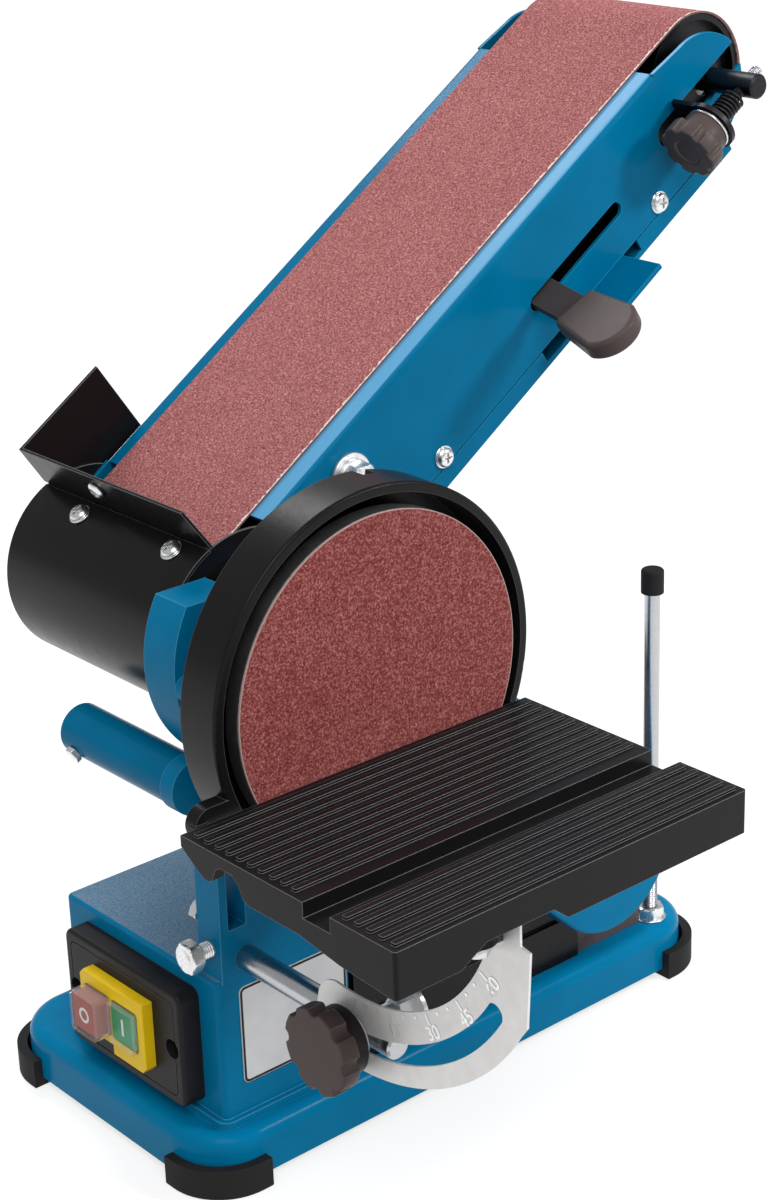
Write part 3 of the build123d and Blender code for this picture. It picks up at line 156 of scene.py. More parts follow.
class Shader:
    """One material with a few helpers for its nodes."""

    def __init__(self, name, color, roughness, metallic=0.0, **sockets):
        self.material = bpy.data.materials.new(name)
        self.material.use_nodes = True
        self.tree = self.material.node_tree
        self.bsdf = self.tree.nodes["Principled BSDF"]
        self.bsdf.inputs["Base Color"].default_value = (*color, 1)
        self.bsdf.inputs["Roughness"].default_value = roughness
        self.bsdf.inputs["Metallic"].default_value = metallic
        for socket, value in sockets.items():
            self.bsdf.inputs[socket.replace("_", " ")].default_value = value
        self.coordinates = self.tree.nodes.new("ShaderNodeTexCoord").outputs["Object"]
        self.normal = None

    def link(self, output, socket):
        self.tree.links.new(output, socket)

    def noise(self, scale, detail=3.0, roughness=0.55):
        node = self.tree.nodes.new("ShaderNodeTexNoise")
        node.inputs["Scale"].default_value = scale
        node.inputs["Detail"].default_value = detail
        node.inputs["Roughness"].default_value = roughness
        self.link(self.coordinates, node.inputs["Vector"])
        return node.outputs["Fac"]

    def ramp(self, factor, stops):
        node = self.tree.nodes.new("ShaderNodeValToRGB")
        elements = node.color_ramp.elements
        while len(elements) < len(stops):
            elements.new(0.5)
        for element, (position, color) in zip(elements, stops):
            element.position = position
            element.color = (*color, 1)
        self.link(factor, node.inputs["Fac"])
        return node.outputs["Color"]

    def span(self, value, from_low, from_high, to_low=0.0, to_high=1.0):
        """Value carried from one range to another, and kept inside it."""
        node = self.tree.nodes.new("ShaderNodeMapRange")
        node.inputs["From Min"].default_value = from_low
        node.inputs["From Max"].default_value = from_high
        node.inputs["To Min"].default_value = to_low
        node.inputs["To Max"].default_value = to_high
        self.link(value, node.inputs["Value"])
        return node.outputs["Result"]

    def math(self, operation, first, second):
        """Sum, difference or the like of an output and a second output or number."""
        node = self.tree.nodes.new("ShaderNodeMath")
        node.operation = operation
        self.link(first, node.inputs[0])
        if isinstance(second, (int, float)):
            node.inputs[1].default_value = second
        else:
            self.link(second, node.inputs[1])
        return node.outputs["Value"]

    def mix(self, factor, base, color):
        """Base output, going over to a plain colour where the factor is 1."""
        node = self.tree.nodes.new("ShaderNodeMix")
        node.data_type = "RGBA"
        self.link(factor, node.inputs["Factor"])
        self.link(base, node.inputs["A"])
        node.inputs["B"].default_value = (*color, 1)
        return node.outputs["Result"]

    def edges(self, radius):
        """Mask that is 1 along sharp edges and 0 on open faces."""
        rounded = self.tree.nodes.new("ShaderNodeBevel")
        rounded.samples = 6
        rounded.inputs["Radius"].default_value = radius
        geometry = self.tree.nodes.new("ShaderNodeNewGeometry")
        agreement = self.tree.nodes.new("ShaderNodeVectorMath")
        agreement.operation = "DOT_PRODUCT"
        self.link(rounded.outputs["Normal"], agreement.inputs[0])
        self.link(geometry.outputs["Normal"], agreement.inputs[1])
        return self.span(agreement.outputs["Value"], 0.985, 0.8)

    def along(self, vector, direction):
        """Part of a vector that lies along a fixed direction."""
        node = self.tree.nodes.new("ShaderNodeVectorMath")
        node.operation = "DOT_PRODUCT"
        self.link(vector, node.inputs[0])
        node.inputs[1].default_value = direction
        return node.outputs["Value"]

    def place_along(self, direction):
        """Place on the piece at rest, measured along a fixed direction in metres."""
        return self.along(self.coordinates, direction)

    def face_along(self, direction):
        """How far a face of the piece at rest looks along a fixed direction."""
        coordinates = self.tree.nodes.new("ShaderNodeTexCoord")
        return self.along(coordinates.outputs["Normal"], direction)

    def color(self, output):
        self.link(output, self.bsdf.inputs["Base Color"])

    def roughness(self, factor, low, high):
        self.link(self.span(factor, 0.0, 1.0, low, high), self.bsdf.inputs["Roughness"])

    def bump(self, height, strength, distance):
        node = self.tree.nodes.new("ShaderNodeBump")
        node.inputs["Strength"].default_value = strength
        node.inputs["Distance"].default_value = distance
        self.link(height, node.inputs["Height"])
        if self.normal is not None:
            self.link(self.normal, node.inputs["Normal"])
        self.normal = node.outputs["Normal"]
        self.link(self.normal, self.bsdf.inputs["Normal"])

    def soften(self, radius):
        """Rounded look of sharp edges."""
        node = self.tree.nodes.new("ShaderNodeBevel")
        node.samples = 4
        node.inputs["Radius"].default_value = radius
        self.normal = node.outputs["Normal"]
        self.link(self.normal, self.bsdf.inputs["Normal"])


def shade(color, factor):
    return tuple(min(1.0, channel * factor) for channel in color)


def start_paint(name, color, roughness, specular):
    """Shader of a paint, and its colour with a slight drift."""
    shader = Shader(name, color, roughness, Specular_IOR_Level=specular)
    drift = shader.ramp(shader.noise(35.0), ((0.3, shade(color, 0.94)), (0.7, shade(color, 1.06))))
    return shader, drift


def finish_paint(shader, tone, edge_highlight, roughness, grain, strength, edge=0.0008):
    """Painted highlight along the edges, uneven gloss and a fine texture."""
    shader.color(shader.mix(shader.edges(edge), tone, edge_highlight))
    shader.roughness(shader.noise(160.0), roughness - 0.06, roughness + 0.08)
    shader.soften(0.0006)
    shader.bump(shader.noise(grain, 4.0), strength, 0.0004)
    return shader.material


def painted(name, color, edge_highlight, roughness, specular, **coat):
    """Plain paint of one colour."""
    shader, drift = start_paint(name, color, roughness, specular)
    return finish_paint(shader, drift, edge_highlight, roughness, **coat)


def metal(name, color, roughness, grain=700.0, strength=0.05, metallic=1.0, spread=0.12):
    """Plated or machined metal with fine marks and cloudy polish."""
    shader = Shader(name, color, roughness, metallic)
    marks = shader.noise(grain, 4.0)
    low = shade(color, 1 - spread)
    high = shade(color, 1 + spread / 2)
    shader.color(shader.ramp(marks, ((0.3, low), (0.72, high))))
    shader.roughness(shader.noise(90.0), roughness - 0.06, roughness + 0.1)
    shader.soften(0.0003)
    shader.bump(marks, strength, 0.0002)
    return shader.material


def plastic(name, color, roughness, edge_highlight=None, grain=1400.0, strength=0.08, **sockets):
    """Moulded plastic with a fine grain, and a painted highlight along its edges."""
    shader = Shader(name, color, roughness, **sockets)
    drift = shader.ramp(shader.noise(60.0), ((0.3, shade(color, 0.94)), (0.7, shade(color, 1.06))))
    shader.color(shader.mix(shader.edges(0.0007), drift, edge_highlight or shade(color, 1.35)))
    shader.roughness(shader.noise(300.0), roughness - 0.05, roughness + 0.07)
    shader.soften(0.0005)
    shader.bump(shader.noise(grain, 3.0), strength, 0.0002)
    return shader.material


def grit(name, dark, middle, light, grain):
    """Abrasive: grains of mixed tone standing out of a bonded sheet, with slow clouds of wear."""
    shader = Shader(name, middle, 0.88, Specular_IOR_Level=0.15)
    grains = shader.noise(grain, 4.0, 0.65)
    clouds = shader.span(shader.noise(22.0, 2.0), 0.3, 0.7, -0.007, 0.007)
    level = shader.math("ADD", grains, clouds)
    tone = shader.ramp(level, ((0.3, dark), (0.5, middle), (0.72, light)))
    shader.color(tone)
    shader.roughness(grains, 0.78, 0.95)
    shader.bump(grains, 0.6, 0.0004)
    return shader, tone


# The five edge colours below are painted highlights along sharp edges, where light would catch the
# rounded rims.
BLUE = (0.0, 0.198, 0.4)
BLUE_EDGE_HIGHLIGHT = (0.02, 0.32, 0.55)
CAST_EDGE_HIGHLIGHT = (0.12, 0.42, 0.64)
BLACK = (0.0075, 0.0072, 0.008)
BLACK_EDGE_HIGHLIGHT = (0.1, 0.1, 0.105)
TABLE_EDGE_HIGHLIGHT = (0.3, 0.295, 0.3)
SHEET_EDGE_HIGHLIGHT = (0.22, 0.22, 0.225)
PAINTED_LIT_PANEL_BROWN = (0.115, 0.09, 0.095)

blue_sheet = painted("blue_sheet_paint", BLUE, BLUE_EDGE_HIGHLIGHT, 0.2, 0.05, grain=900.0, strength=0.04)
black_sheet = painted(
    "black_sheet_paint", BLACK, SHEET_EDGE_HIGHLIGHT, 0.28, 0.15, grain=900.0, strength=0.06, edge=0.0009
)
black_cast = painted(
    "black_cast_paint", BLACK, BLACK_EDGE_HIGHLIGHT, 0.3, 0.14, grain=700.0, strength=0.12, edge=0.0007
)
table_paint = painted(
    "table_paint", BLACK, TABLE_EDGE_HIGHLIGHT, 0.3, 0.13, grain=700.0, strength=0.1, edge=0.0005
)
# The second colour is this paint's painted edge highlight.
lever_paint = painted(
    "lever_paint", (0.06, 0.05, 0.049), (0.13, 0.115, 0.11), 0.45, 0.1, grain=900.0, strength=0.06
)
zinc = metal("zinc_plate", (0.78, 0.785, 0.79), 0.25)
rod_steel = metal("rod_steel", (0.5, 0.51, 0.53), 0.24, strength=0.03, spread=0.06)
pale_zinc = metal("pale_zinc", (0.74, 0.745, 0.75), 0.3, strength=0.03, metallic=0.85, spread=0.06)
zinc_sheet = metal(
    "zinc_sheet", (0.88, 0.87, 0.86), 0.5, grain=160.0, strength=0.004, metallic=0.5, spread=0.06
)
dark_metal = metal("black_oxide_steel", (0.035, 0.035, 0.038), 0.38)
alloy = metal("machined_alloy", (0.66, 0.67, 0.68), 0.36, grain=420.0)
mark_metal = metal("pressed_mark", (0.99, 0.99, 0.99), 0.4, strength=0.02, metallic=0.8, spread=0.02)
# Painted shadow for the pressed marks.
painted_mark_shadow = metal("pressed_mark_shade", (0.62, 0.6, 0.59), 0.5, strength=0.02, metallic=0.3, spread=0.04)
# The second colour given to each plastic is its painted edge highlight.
knob_brown = plastic(
    "knob_plastic", (0.085, 0.064, 0.061), 0.4, (0.34, 0.3, 0.29), Specular_IOR_Level=0.14
)
# Painted shade: the tilt knob's hub is a darker copy of the knob plastic.
hub_painted_shade = plastic(
    "hub_plastic", (0.022, 0.019, 0.019), 0.45, (0.08, 0.07, 0.07), Specular_IOR_Level=0.14
)
switch_black = plastic(
    "switch_plastic",
    (0.014, 0.0135, 0.015),
    0.42,
    (0.1, 0.098, 0.1),
    grain=900.0,
    strength=0.1,
    Specular_IOR_Level=0.14,
)
yellow = plastic("yellow_plastic", (0.9, 0.6, 0.006), 0.36, (0.98, 0.76, 0.12), Specular_IOR_Level=0.25)
red = plastic("red_plastic", (0.36, 0.085, 0.065), 0.34, Specular_IOR_Level=0.3)
green = plastic("green_plastic", (0.05, 0.29, 0.13), 0.34, Specular_IOR_Level=0.3)
white_ink = plastic("white_print", (0.82, 0.82, 0.8), 0.5)
black_ink = plastic("black_print", (0.012, 0.012, 0.013), 0.5, Specular_IOR_Level=0.2)
plate_silver = plastic(
    "plate_silver", (0.76, 0.76, 0.77), 0.42, (0.85, 0.85, 0.85), grain=300.0, strength=0.03
)
rubber = plastic(
    "rubber",
    (0.014, 0.014, 0.015),
    0.7,
    (0.035, 0.035, 0.036),
    grain=600.0,
    strength=0.2,
    Specular_IOR_Level=0.2,
)
varnish = plastic("winding_varnish", (0.18, 0.08, 0.03), 0.4, grain=500.0, strength=0.3)
paper_edge = plastic(
    "paper_edge", (0.5, 0.32, 0.29), 0.9, (0.62, 0.5, 0.46), grain=900.0, strength=0.3
)

clear_shader = Shader("clear_plastic", (0.97, 0.97, 0.97), 0.06, Transmission_Weight=0.9, IOR=1.06)
clear_shader.bump(clear_shader.noise(300.0), 0.04, 0.0002)
clear = clear_shader.material

belt_shader, belt_tone = grit(
    "belt_grit", (0.13, 0.03, 0.03), (0.37, 0.119, 0.12), (0.74, 0.37, 0.36), 1080.0
)
disc_shader, _ = grit(
    "disc_grit", (0.1, 0.017, 0.016), (0.265, 0.06, 0.057), (0.62, 0.25, 0.23), 1020.0
)
disc_grit = disc_shader.material


# Materials that change over a piece


def belt_paint(shader, tone):
    """Cloth shows as a thin pale frayed line beside the near cut; painted shade darkens the cuts and the
    inside.
    """
    fray = shader.span(shader.noise(420.0, 3.0), 0.3, 0.7, -0.0008, 0.0008)
    frayed_place = shader.math("ADD", shader.place_along(BACK), fray)
    edge = shader.span(frayed_place, NEAR_EDGE + 0.0009, NEAR_EDGE + 0.0005)
    pale = shader.mix(edge, tone, (0.86, 0.78, 0.75))
    # Painted shade: the belt's cut faces are darkened.
    cut = shader.span(shader.math("ABSOLUTE", shader.face_along(BACK), 0.0), 0.6, 0.9)
    with_shaded_cuts = shader.mix(cut, pale, (0.2, 0.11, 0.1))
    # Inside of the lower run: the backing's own darker tone, painted down to near black as shade inside
    # the frame.
    lower_run = shader.span(shader.place_along(BELT_NORMAL), ARM_LEVEL, ARM_LEVEL - 0.001)
    looks_up = shader.span(shader.face_along(BELT_NORMAL), 0.3, 0.6)
    inside = shader.math("MULTIPLY", lower_run, looks_up)
    shader.color(shader.mix(inside, with_shaded_cuts, (0.02, 0.013, 0.013)))
    return shader.material


def arm_paint():
    """Blue paint at 0.78 of its own colour as painted shade; a painted sheen makes the frame's near top
    edge paler.
    """
    roughness = 0.2
    # Painted shade: the frame, its bottom cover and the socket tube take a darker copy of the blue paint.
    shader, drift = start_paint("arm_paint", shade(BLUE, 0.78), roughness, 0.05)
    near_side = shader.span(shader.place_along(BACK), NEAR_EDGE + 0.002, NEAR_EDGE)
    upper_side = shader.span(shader.place_along(BELT_NORMAL), ARM_LEVEL + 0.015, ARM_LEVEL + 0.02)
    looks_up = shader.span(shader.face_along(BELT_NORMAL), 0.85, 0.95)
    painted_sheen_edge = shader.math("MULTIPLY", shader.math("MULTIPLY", near_side, upper_side), looks_up)
    # Painted sheen: the near top edge is lightened where it would catch the light.
    tone = shader.mix(painted_sheen_edge, drift, (0.12, 0.38, 0.64))
    return finish_paint(shader, tone, BLUE_EDGE_HIGHLIGHT, roughness, grain=900.0, strength=0.04)


def cast_paint():
    """Blue over a cast skin; a speckled grey painted sheen lies on the switch housing's top."""
    roughness = 0.34
    shader, drift = start_paint("blue_cast_paint", shade(BLUE, 0.92), roughness, 0.07)
    # Painted sheen: speckled grey on the upward face at the housing's top, standing in for reflected
    # light.
    speckle = shader.span(shader.noise(800.0, 2.0), 0.3, 0.7, 0.2, 1.0)
    above_top = shader.math("SUBTRACT", shader.place_along(UP), (BOX_TOP + AXIS_Z) / 1000)
    off_top = shader.math("ABSOLUTE", above_top, 0.0)
    looks_up = shader.span(shader.face_along(UP), 0.95, 0.99)
    top = shader.math("MULTIPLY", shader.span(off_top, 0.003, 0.002), looks_up)
    tone = shader.mix(shader.math("MULTIPLY", speckle, top), drift, (0.23, 0.29, 0.36))
    return finish_paint(shader, tone, CAST_EDGE_HIGHLIGHT, roughness, grain=620.0, strength=0.3)


def motor_paint():
    """Black over the motor's foot; beside it the housing is painted a lighter brown as a painted
    reflection.
    """
    roughness = 0.28
    shader, drift = start_paint("motor_paint", BLACK, roughness, 0.15)
    border = (MOTOR_LIT_PANEL_LEFT + AXIS_X) / 1000
    # Painted reflection: right of the border the housing is lightened as if it caught the light.
    lit_panel = shader.span(shader.place_along(RIGHT), border - 0.0003, border + 0.0003)
    tone = shader.mix(lit_panel, drift, PAINTED_LIT_PANEL_BROWN)
    return finish_paint(shader, tone, BLACK_EDGE_HIGHLIGHT, roughness, grain=900.0, strength=0.06, edge=0.0007)


belt_grit = belt_paint(belt_shader, belt_tone)
arm_blue_shaded = arm_paint()
blue_cast = cast_paint()
motor_black = motor_paint()

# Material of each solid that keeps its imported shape
LOOKS = {
    blue_sheet: ("base_tray", "drive_belt_cover", "drive_cover_plate"),
    arm_blue_shaded: ("belt_frame", "bottom_cover", "socket_tube"),
    blue_cast: ("pedestal",),
    black_sheet: ("drum_guard", "work_stop", "motor_end_cover", "bottom_plate"),
    motor_black: ("motor_housing",),
    black_cast: ("disc_guard",),
    table_paint: ("table_top",),
    rubber: ("rubber_feet", "support_rod_cap", "drive_belt"),
    zinc: (
        "spindle_bearings",
        "motor_bearings",
        "socket_set_screw",
        "spindle_shaft",
        "far_bearing",
        "lever_pin",
        "idler_bearings",
        "table_pivot_pins",
    ),
    rod_steel: ("table_rod",),
    pale_zinc: ("tilt_bolt",),
    zinc_sheet: ("protractor",),
    dark_metal: (
        "arm_clamp",
        "idler_carriage",
        "idler_shaft",
        "rotor",
        "motor_pulley",
        "driven_pulley",
        "idler_drum",
    ),
    lever_paint: ("lever_bar",),
    alloy: ("drive_drum", "disc_plate"),
    plate_silver: ("rating_plate",),
    varnish: ("stator",),
    switch_black: ("switch_cover", "switch_block"),
    yellow: ("switch_bezel",),
    clear: ("button_shrouds",),
    red: ("stop_button",),
    green: ("start_button",),
    knob_brown: ("lever_grip",),
    belt_grit: ("sanding_belt",),
    disc_grit: ("abrasive_disc",),
}

for look, members in LOOKS.items():
    for member in members:
        for material_slot in nodes[member].material_slots:
            material_slot.material = look


# Building helpers


def finish_piece(name, bm, look, body, stands_for=(), sharp_angle=32.0):
    """Make an object of a bmesh with its look, riding on a body, in place of the named nodes."""
    bmesh.ops.recalc_face_normals(bm, faces=bm.faces)
    mesh = bpy.data.meshes.new(name)
    bm.to_mesh(mesh)
    bm.free()
    for polygon in mesh.polygons:
        polygon.use_smooth = True
    mesh.set_sharp_from_angle(angle=radians(sharp_angle))
    mesh.materials.append(look)
    piece = bpy.data.objects.new(name, mesh)
    bpy.context.scene.collection.objects.link(piece)
    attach(piece, body)
    for node in stands_for:
        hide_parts(node)


def join_rings(bm, rings, closed=False):
    """Faces between neighbouring rings of points; the ends are capped unless the rings close."""
    pairs = list(zip(rings, rings[1:]))
    if closed:
        pairs.append((rings[-1], rings[0]))
    for low, high in pairs:
        for step in range(len(low)):
            following = (step + 1) % len(low)
            bm.faces.new((low[step], low[following], high[following], high[step]))
    if not closed:
        bm.faces.new(list(reversed(rings[0])))
        bm.faces.new(rings[-1])


def turned(bm, origin, axis, profile, segments=48, outline=None, closed=False):
    """Body round an axis. The profile lists (distance along the axis, radius) in millimetres.

    outline(angle, radius) may change the radius round the axis, for lobes, flats or a recess."""
    axis = axis.normalized()
    side = (UP if abs(axis.z) < 0.9 else RIGHT).cross(axis).normalized()
    other = axis.cross(side)
    rings = []
    for along, radius in profile:
        ring = []
        for step in range(segments):
            angle = 2 * pi * step / segments
            reach = outline(angle, radius) if outline else radius
            point = origin + (axis * along + (side * cos(angle) + other * sin(angle)) * reach) / 1000
            ring.append(bm.verts.new(point))
        rings.append(ring)
    join_rings(bm, rings, closed)


def block(bm, centre, axes, sizes):
    """Box with its sides along three given directions, sizes in millimetres."""
    corners = []
    for i in (-0.5, 0.5):
        for j in (-0.5, 0.5):
            for k in (-0.5, 0.5):
                offset = axes[0] * sizes[0] * i + axes[1] * sizes[1] * j + axes[2] * sizes[2] * k
                corners.append(bm.verts.new(centre + offset / 1000))
    for face in ((0, 1, 3, 2), (4, 6, 7, 5), (0, 4, 5, 1), (2, 3, 7, 6), (0, 2, 6, 4), (1, 5, 7, 3)):
        bm.faces.new([corners[index] for index in face])


def pan_screw(bm, origin, axis, radius, height):
    """Domed screw head with a cross recess; a negative radius in the profile means the cross."""

    def cross(angle, reach):
        if reach >= 0:
            return reach
        fold = abs((angle + pi / 4) % (pi / 2) - pi / 4)
        half_width = -reach * 0.24
        return min(-reach / cos(fold), half_width / max(sin(fold), 1e-6))

    profile = (
        (0, radius * 0.96),
        (height * 0.12, radius),
        (height * 0.45, radius),
        (height * 0.75, radius * 0.88),
        (height * 0.94, radius * 0.7),
        (height, radius * 0.58),
        (height, -radius * 0.55),
        (height * 0.35, -radius * 0.4),
    )
    turned(bm, origin, axis, profile, 64, cross)


def hex_head(bm, origin, axis, corner, height, phase=0.0):
    """Hexagon head or nut with its corners turned off and a shallow hollow on the outer face."""

    def hexagon(angle, reach):
        fold = (angle + phase) % (pi / 3) - pi / 6
        return min(reach, corner * cos(pi / 6) / cos(fold))

    profile = (
        (0, corner * 0.93),
        (height * 0.08, corner),
        (height - corner * 0.16, corner),
        (height - corner * 0.06, corner * 0.95),
        (height, corner * 0.84),
        (height, corner * 0.5),
        (height - 0.25, corner * 0.42),
    )
    turned(bm, origin, axis, profile, 72, hexagon)


def washer(bm, origin, axis, radius, height):
    """Flat washer with its rims broken."""
    rim = min(0.35, height * 0.3)
    profile = ((0, radius - rim), (rim, radius), (height - rim, radius), (height, radius - rim))
    turned(bm, origin, axis, profile, 64)


def thread(start, end, radius, pitch):
    """Profile of a thread: crests and roots in turn."""
    depth = pitch * 0.4
    profile = []
    for turn in range(int((end - start) / pitch)):
        profile.append((start + turn * pitch, radius - depth))
        profile.append((start + (turn + 0.5) * pitch, radius))
    profile.append((end - 0.4, radius - depth * 0.5))
    profile.append((end, radius - depth))
    return profile


# Fasteners in place of the plain ones


def arm_screws():
    bm = bmesh.new()
    for along, level in COVER_SCREWS:
        for side, axis in ((SIDE_NEAR, -BACK), (SIDE_FAR, BACK)):
            seat = on_arm(along, side, level)
            washer(bm, seat, axis, radius=5.5, height=SCREW_WASHER)
            pan_screw(bm, seat + axis * SCREW_WASHER / 1000, axis, radius=4.7, height=SCREW_HEAD)
    finish_piece("arm_screws", bm, zinc, "belt_arm", ["cover_screws"])


def guard_screws():
    bm = bmesh.new()
    head_radius = 4.6
    for along, y in GUARD_SCREWS:
        washer(bm, on_arm(along, y, GUARD_RADIUS), BELT_NORMAL, radius=5.4, height=SCREW_WASHER)
        seat = on_arm(along, y, GUARD_RADIUS + SCREW_WASHER)
        pan_screw(bm, seat, BELT_NORMAL, head_radius, SCREW_HEAD)
    y, level = STOP_SCREW
    pan_screw(bm, on_arm(STOP_BACK, y, level), -ARM_DIRECTION, head_radius, SCREW_HEAD)
    finish_piece("guard_screws", bm, zinc, "belt_arm", ["stop_screws"])


def lock_bolt():
    along, level = LOCK_BOLT
    wide_washer = 2.2
    spring_washer = 2.3
    shank_radius = 4.0
    head_start = SIDE_NEAR - wide_washer - spring_washer
    bm = bmesh.new()
    washer(bm, on_arm(along, SIDE_NEAR, level), -BACK, radius=10.9, height=wide_washer)
    washer(bm, on_arm(along, SIDE_NEAR - wide_washer, level), -BACK, radius=8.4, height=spring_washer)
    hex_head(bm, on_arm(along, head_start, level), -BACK, corner=8.0, height=7.0)
    turned(bm, on_arm(along, SIDE_NEAR, level), BACK, ((0, shank_radius), (9.0, shank_radius)), 32)
    finish_piece("lock_bolt", bm, pale_zinc, "belt_arm", ["arm_lock_bolt"])


def upright_bolts():
    shank_radius = 4.0
    shank = [(0, shank_radius)] + thread(0.5, 15.4, shank_radius, 1.25)
    bm = bmesh.new()
    hex_head(bm, place(*CLAMP_BOLT), -RIGHT, corner=8.0, height=6.0)
    turned(bm, place(*CLAMP_BOLT), RIGHT, shank, 32)
    hex_head(bm, place(*UPRIGHT_BOLT), BACK, corner=6.5, height=5.0)
    finish_piece("upright_bolts", bm, zinc, "stand", ["rod_clamp_bolts"])


def flange_screw():
    under = place(*FLANGE_SCREW)
    washer_height = 0.8
    shank_radius = 2.9
    bm = bmesh.new()
    washer(bm, under, -UP, radius=7.0, height=washer_height)
    hex_head(bm, under - UP * washer_height / 1000, -UP, corner=5.5, height=3.7)
    turned(bm, under, UP, ((0, shank_radius), (13.5, shank_radius)), 24)
    finish_piece("flange_screw", bm, pale_zinc, "table", ["protractor_screws"])


def support_rod():
    x, y = SUPPORT_ROD
    radius = 4.0
    low = TRAY_TOP - 12
    length = SUPPORT_ROD_TOP - low
    thread_end = 48.0
    washer_height = 1.0
    profile = thread(0, thread_end, radius, 1.25)
    profile += [(thread_end + 1.0, radius), (length - 1, radius), (length, radius - 0.8)]
    bm = bmesh.new()
    turned(bm, place(x, y, low), UP, profile, 40)
    finish_piece("support_post", bm, rod_steel, "stand", ["support_rod"])
    bm = bmesh.new()
    washer(bm, place(x, y, TRAY_TOP), UP, radius=8.4, height=washer_height)
    seat = place(x, y, TRAY_TOP + washer_height)
    hex_head(bm, seat, UP, corner=7.5, height=6.0, phase=pi / 6)
    finish_piece("support_nut", bm, zinc, "stand", ["support_rod_nut"])


def switch_screws():
    bm = bmesh.new()
    for x, y, z in SWITCH_SCREWS:
        pan_screw(bm, place(x, y, z), -RIGHT, radius=3.3, height=2.2)
    finish_piece("switch_screws", bm, dark_metal, "stand")


arm_screws()
guard_screws()
lock_bolt()
upright_bolts()
flange_screw()
support_rod()
switch_screws()


# Hand knobs with eight lobes, and the tracking screw and spring


def lobes(full_radius, round_below):
    """Outline with eight flutes; rings smaller than the given radius stay round."""
    centre = 1.06 * full_radius
    flute = 0.18 * full_radius

    def outline(angle, radius):
        if radius < round_below:
            return radius
        fold = (angle + pi / 8) % (pi / 4) - pi / 8
        aside = centre * sin(fold)
        if abs(aside) >= flute:
            return radius
        return min(radius, (centre * cos(fold) - sqrt(flute**2 - aside**2)) * radius / full_radius)

    return outline


def lobed_profile(start, end, radius):
    """Side view of a lobed knob: both rims are broken, and the front face is flat."""
    return (
        (start, radius - 1.6),
        (start, radius - 0.9),
        (start + 0.3, radius - 0.3),
        (start + 1.0, radius),
        (end - 0.8, radius),
        (end - 0.2, radius - 0.3),
        (end, radius - 0.9),
        (end, radius - 1.4),
    )


def hub_profile(end, radius):
    """Side view of a knob's round hub, with its back rim broken."""
    return ((0, radius - 1.2), (0, radius - 0.6), (0.6, radius), (end, radius))


def tilt_hand_knob():
    origin = place(TILT_KNOB_END, TILT_BOLT_Y, ROD_Z)
    bm = bmesh.new()
    turned(bm, origin, -RIGHT, hub_profile(TILT_KNOB_HUB + 0.5, TILT_HUB_RADIUS), 64)
    finish_piece("tilt_knob_hub", bm, hub_painted_shade, "tilt_knob")
    profile = lobed_profile(TILT_KNOB_HUB, TILT_KNOB_LENGTH, TILT_KNOB_RADIUS)
    outline = lobes(TILT_KNOB_RADIUS, TILT_HUB_RADIUS)
    bm = bmesh.new()
    turned(bm, origin, -RIGHT, profile, 192, outline)
    finish_piece("tilt_hand_knob", bm, knob_brown, "tilt_knob", ["tilt_knob"], 48.0)


def tracking_hand_knob():
    length = TRACKING_HUB_END - TRACKING_FACE
    lobes_start = TRACKING_HUB_END - TRACKING_LOBES_END
    recess = TRACKING_RECESS_RADIUS
    profile = hub_profile(lobes_start, TRACKING_HUB_RADIUS)
    profile += lobed_profile(lobes_start, length, TRACKING_RADIUS)
    profile += (
        (length, recess + 0.4),
        (length, recess),
        (length - 0.4, recess - 0.5),
        (length - TRACKING_RECESS_DEPTH, recess - 0.8),
        (length - TRACKING_RECESS_DEPTH, recess - 1.3),
    )
    outline = lobes(TRACKING_RADIUS, TRACKING_HUB_RADIUS + 0.5)
    bm = bmesh.new()
    turned(bm, on_arm(TRACKING_HUB_END, TRACKING_Y, 0), -ARM_DIRECTION, profile, 192, outline)
    stands_for = ["tracking_knob"]
    finish_piece("tracking_hand_knob", bm, knob_brown, "tracking_knob", stands_for, 48.0)


def tracking_bolt():
    """Screw with a bright washer and a bright end past the shaft; the length inside the spring is painted
    dark as shade.
    """
    start = on_arm(TRACKING_SCREW_START, TRACKING_Y, 0)
    bright_from = DRUM_DISTANCE - TRACKING_SCREW_START
    end = TRACKING_SCREW_END - TRACKING_SCREW_START
    radius = TRACKING_SCREW_RADIUS
    shaded_thread = [(0, radius)] + thread(TRACKING_THREAD_START, bright_from, radius, 1.0)
    bm = bmesh.new()
    # Painted shade: this length of the screw takes dark metal.
    turned(bm, start, ARM_DIRECTION, shaded_thread, 40)
    finish_piece("tracking_bolt", bm, dark_metal, "tracking_knob", ["tracking_screw"])
    bm = bmesh.new()
    washer(bm, on_arm(TRACKING_WASHER, TRACKING_Y, 0), ARM_DIRECTION, radius=11.5, height=1.4)
    turned(bm, start, ARM_DIRECTION, thread(bright_from, end, radius, 1.0), 40)
    finish_piece("tracking_bolt_end", bm, zinc, "tracking_knob")


def wound_spring():
    """Wound wire in place of the row of rings."""
    turns = 8
    steps_per_turn = 32
    coil_radius = 5.0
    wire_radius = 0.8
    wire_sides = 10
    steps = turns * steps_per_turn
    bm = bmesh.new()
    rings = []
    for step in range(steps + 1):
        share = step / steps
        angle = 2 * pi * turns * share
        centre = on_arm(SPRING_START + (SPRING_END - SPRING_START) * share, TRACKING_Y, 0)
        outward = BACK * cos(angle) + BELT_NORMAL * sin(angle)
        ring = []
        for side in range(wire_sides):
            turn = 2 * pi * side / wire_sides
            reach = coil_radius + wire_radius * cos(turn)
            offset = outward * reach + ARM_DIRECTION * wire_radius * sin(turn)
            ring.append(bm.verts.new(centre + offset / 1000))
        rings.append(ring)
    join_rings(bm, rings)
    finish_piece("tracking_wire", bm, dark_metal, "idler_carriage", ["tracking_spring"])


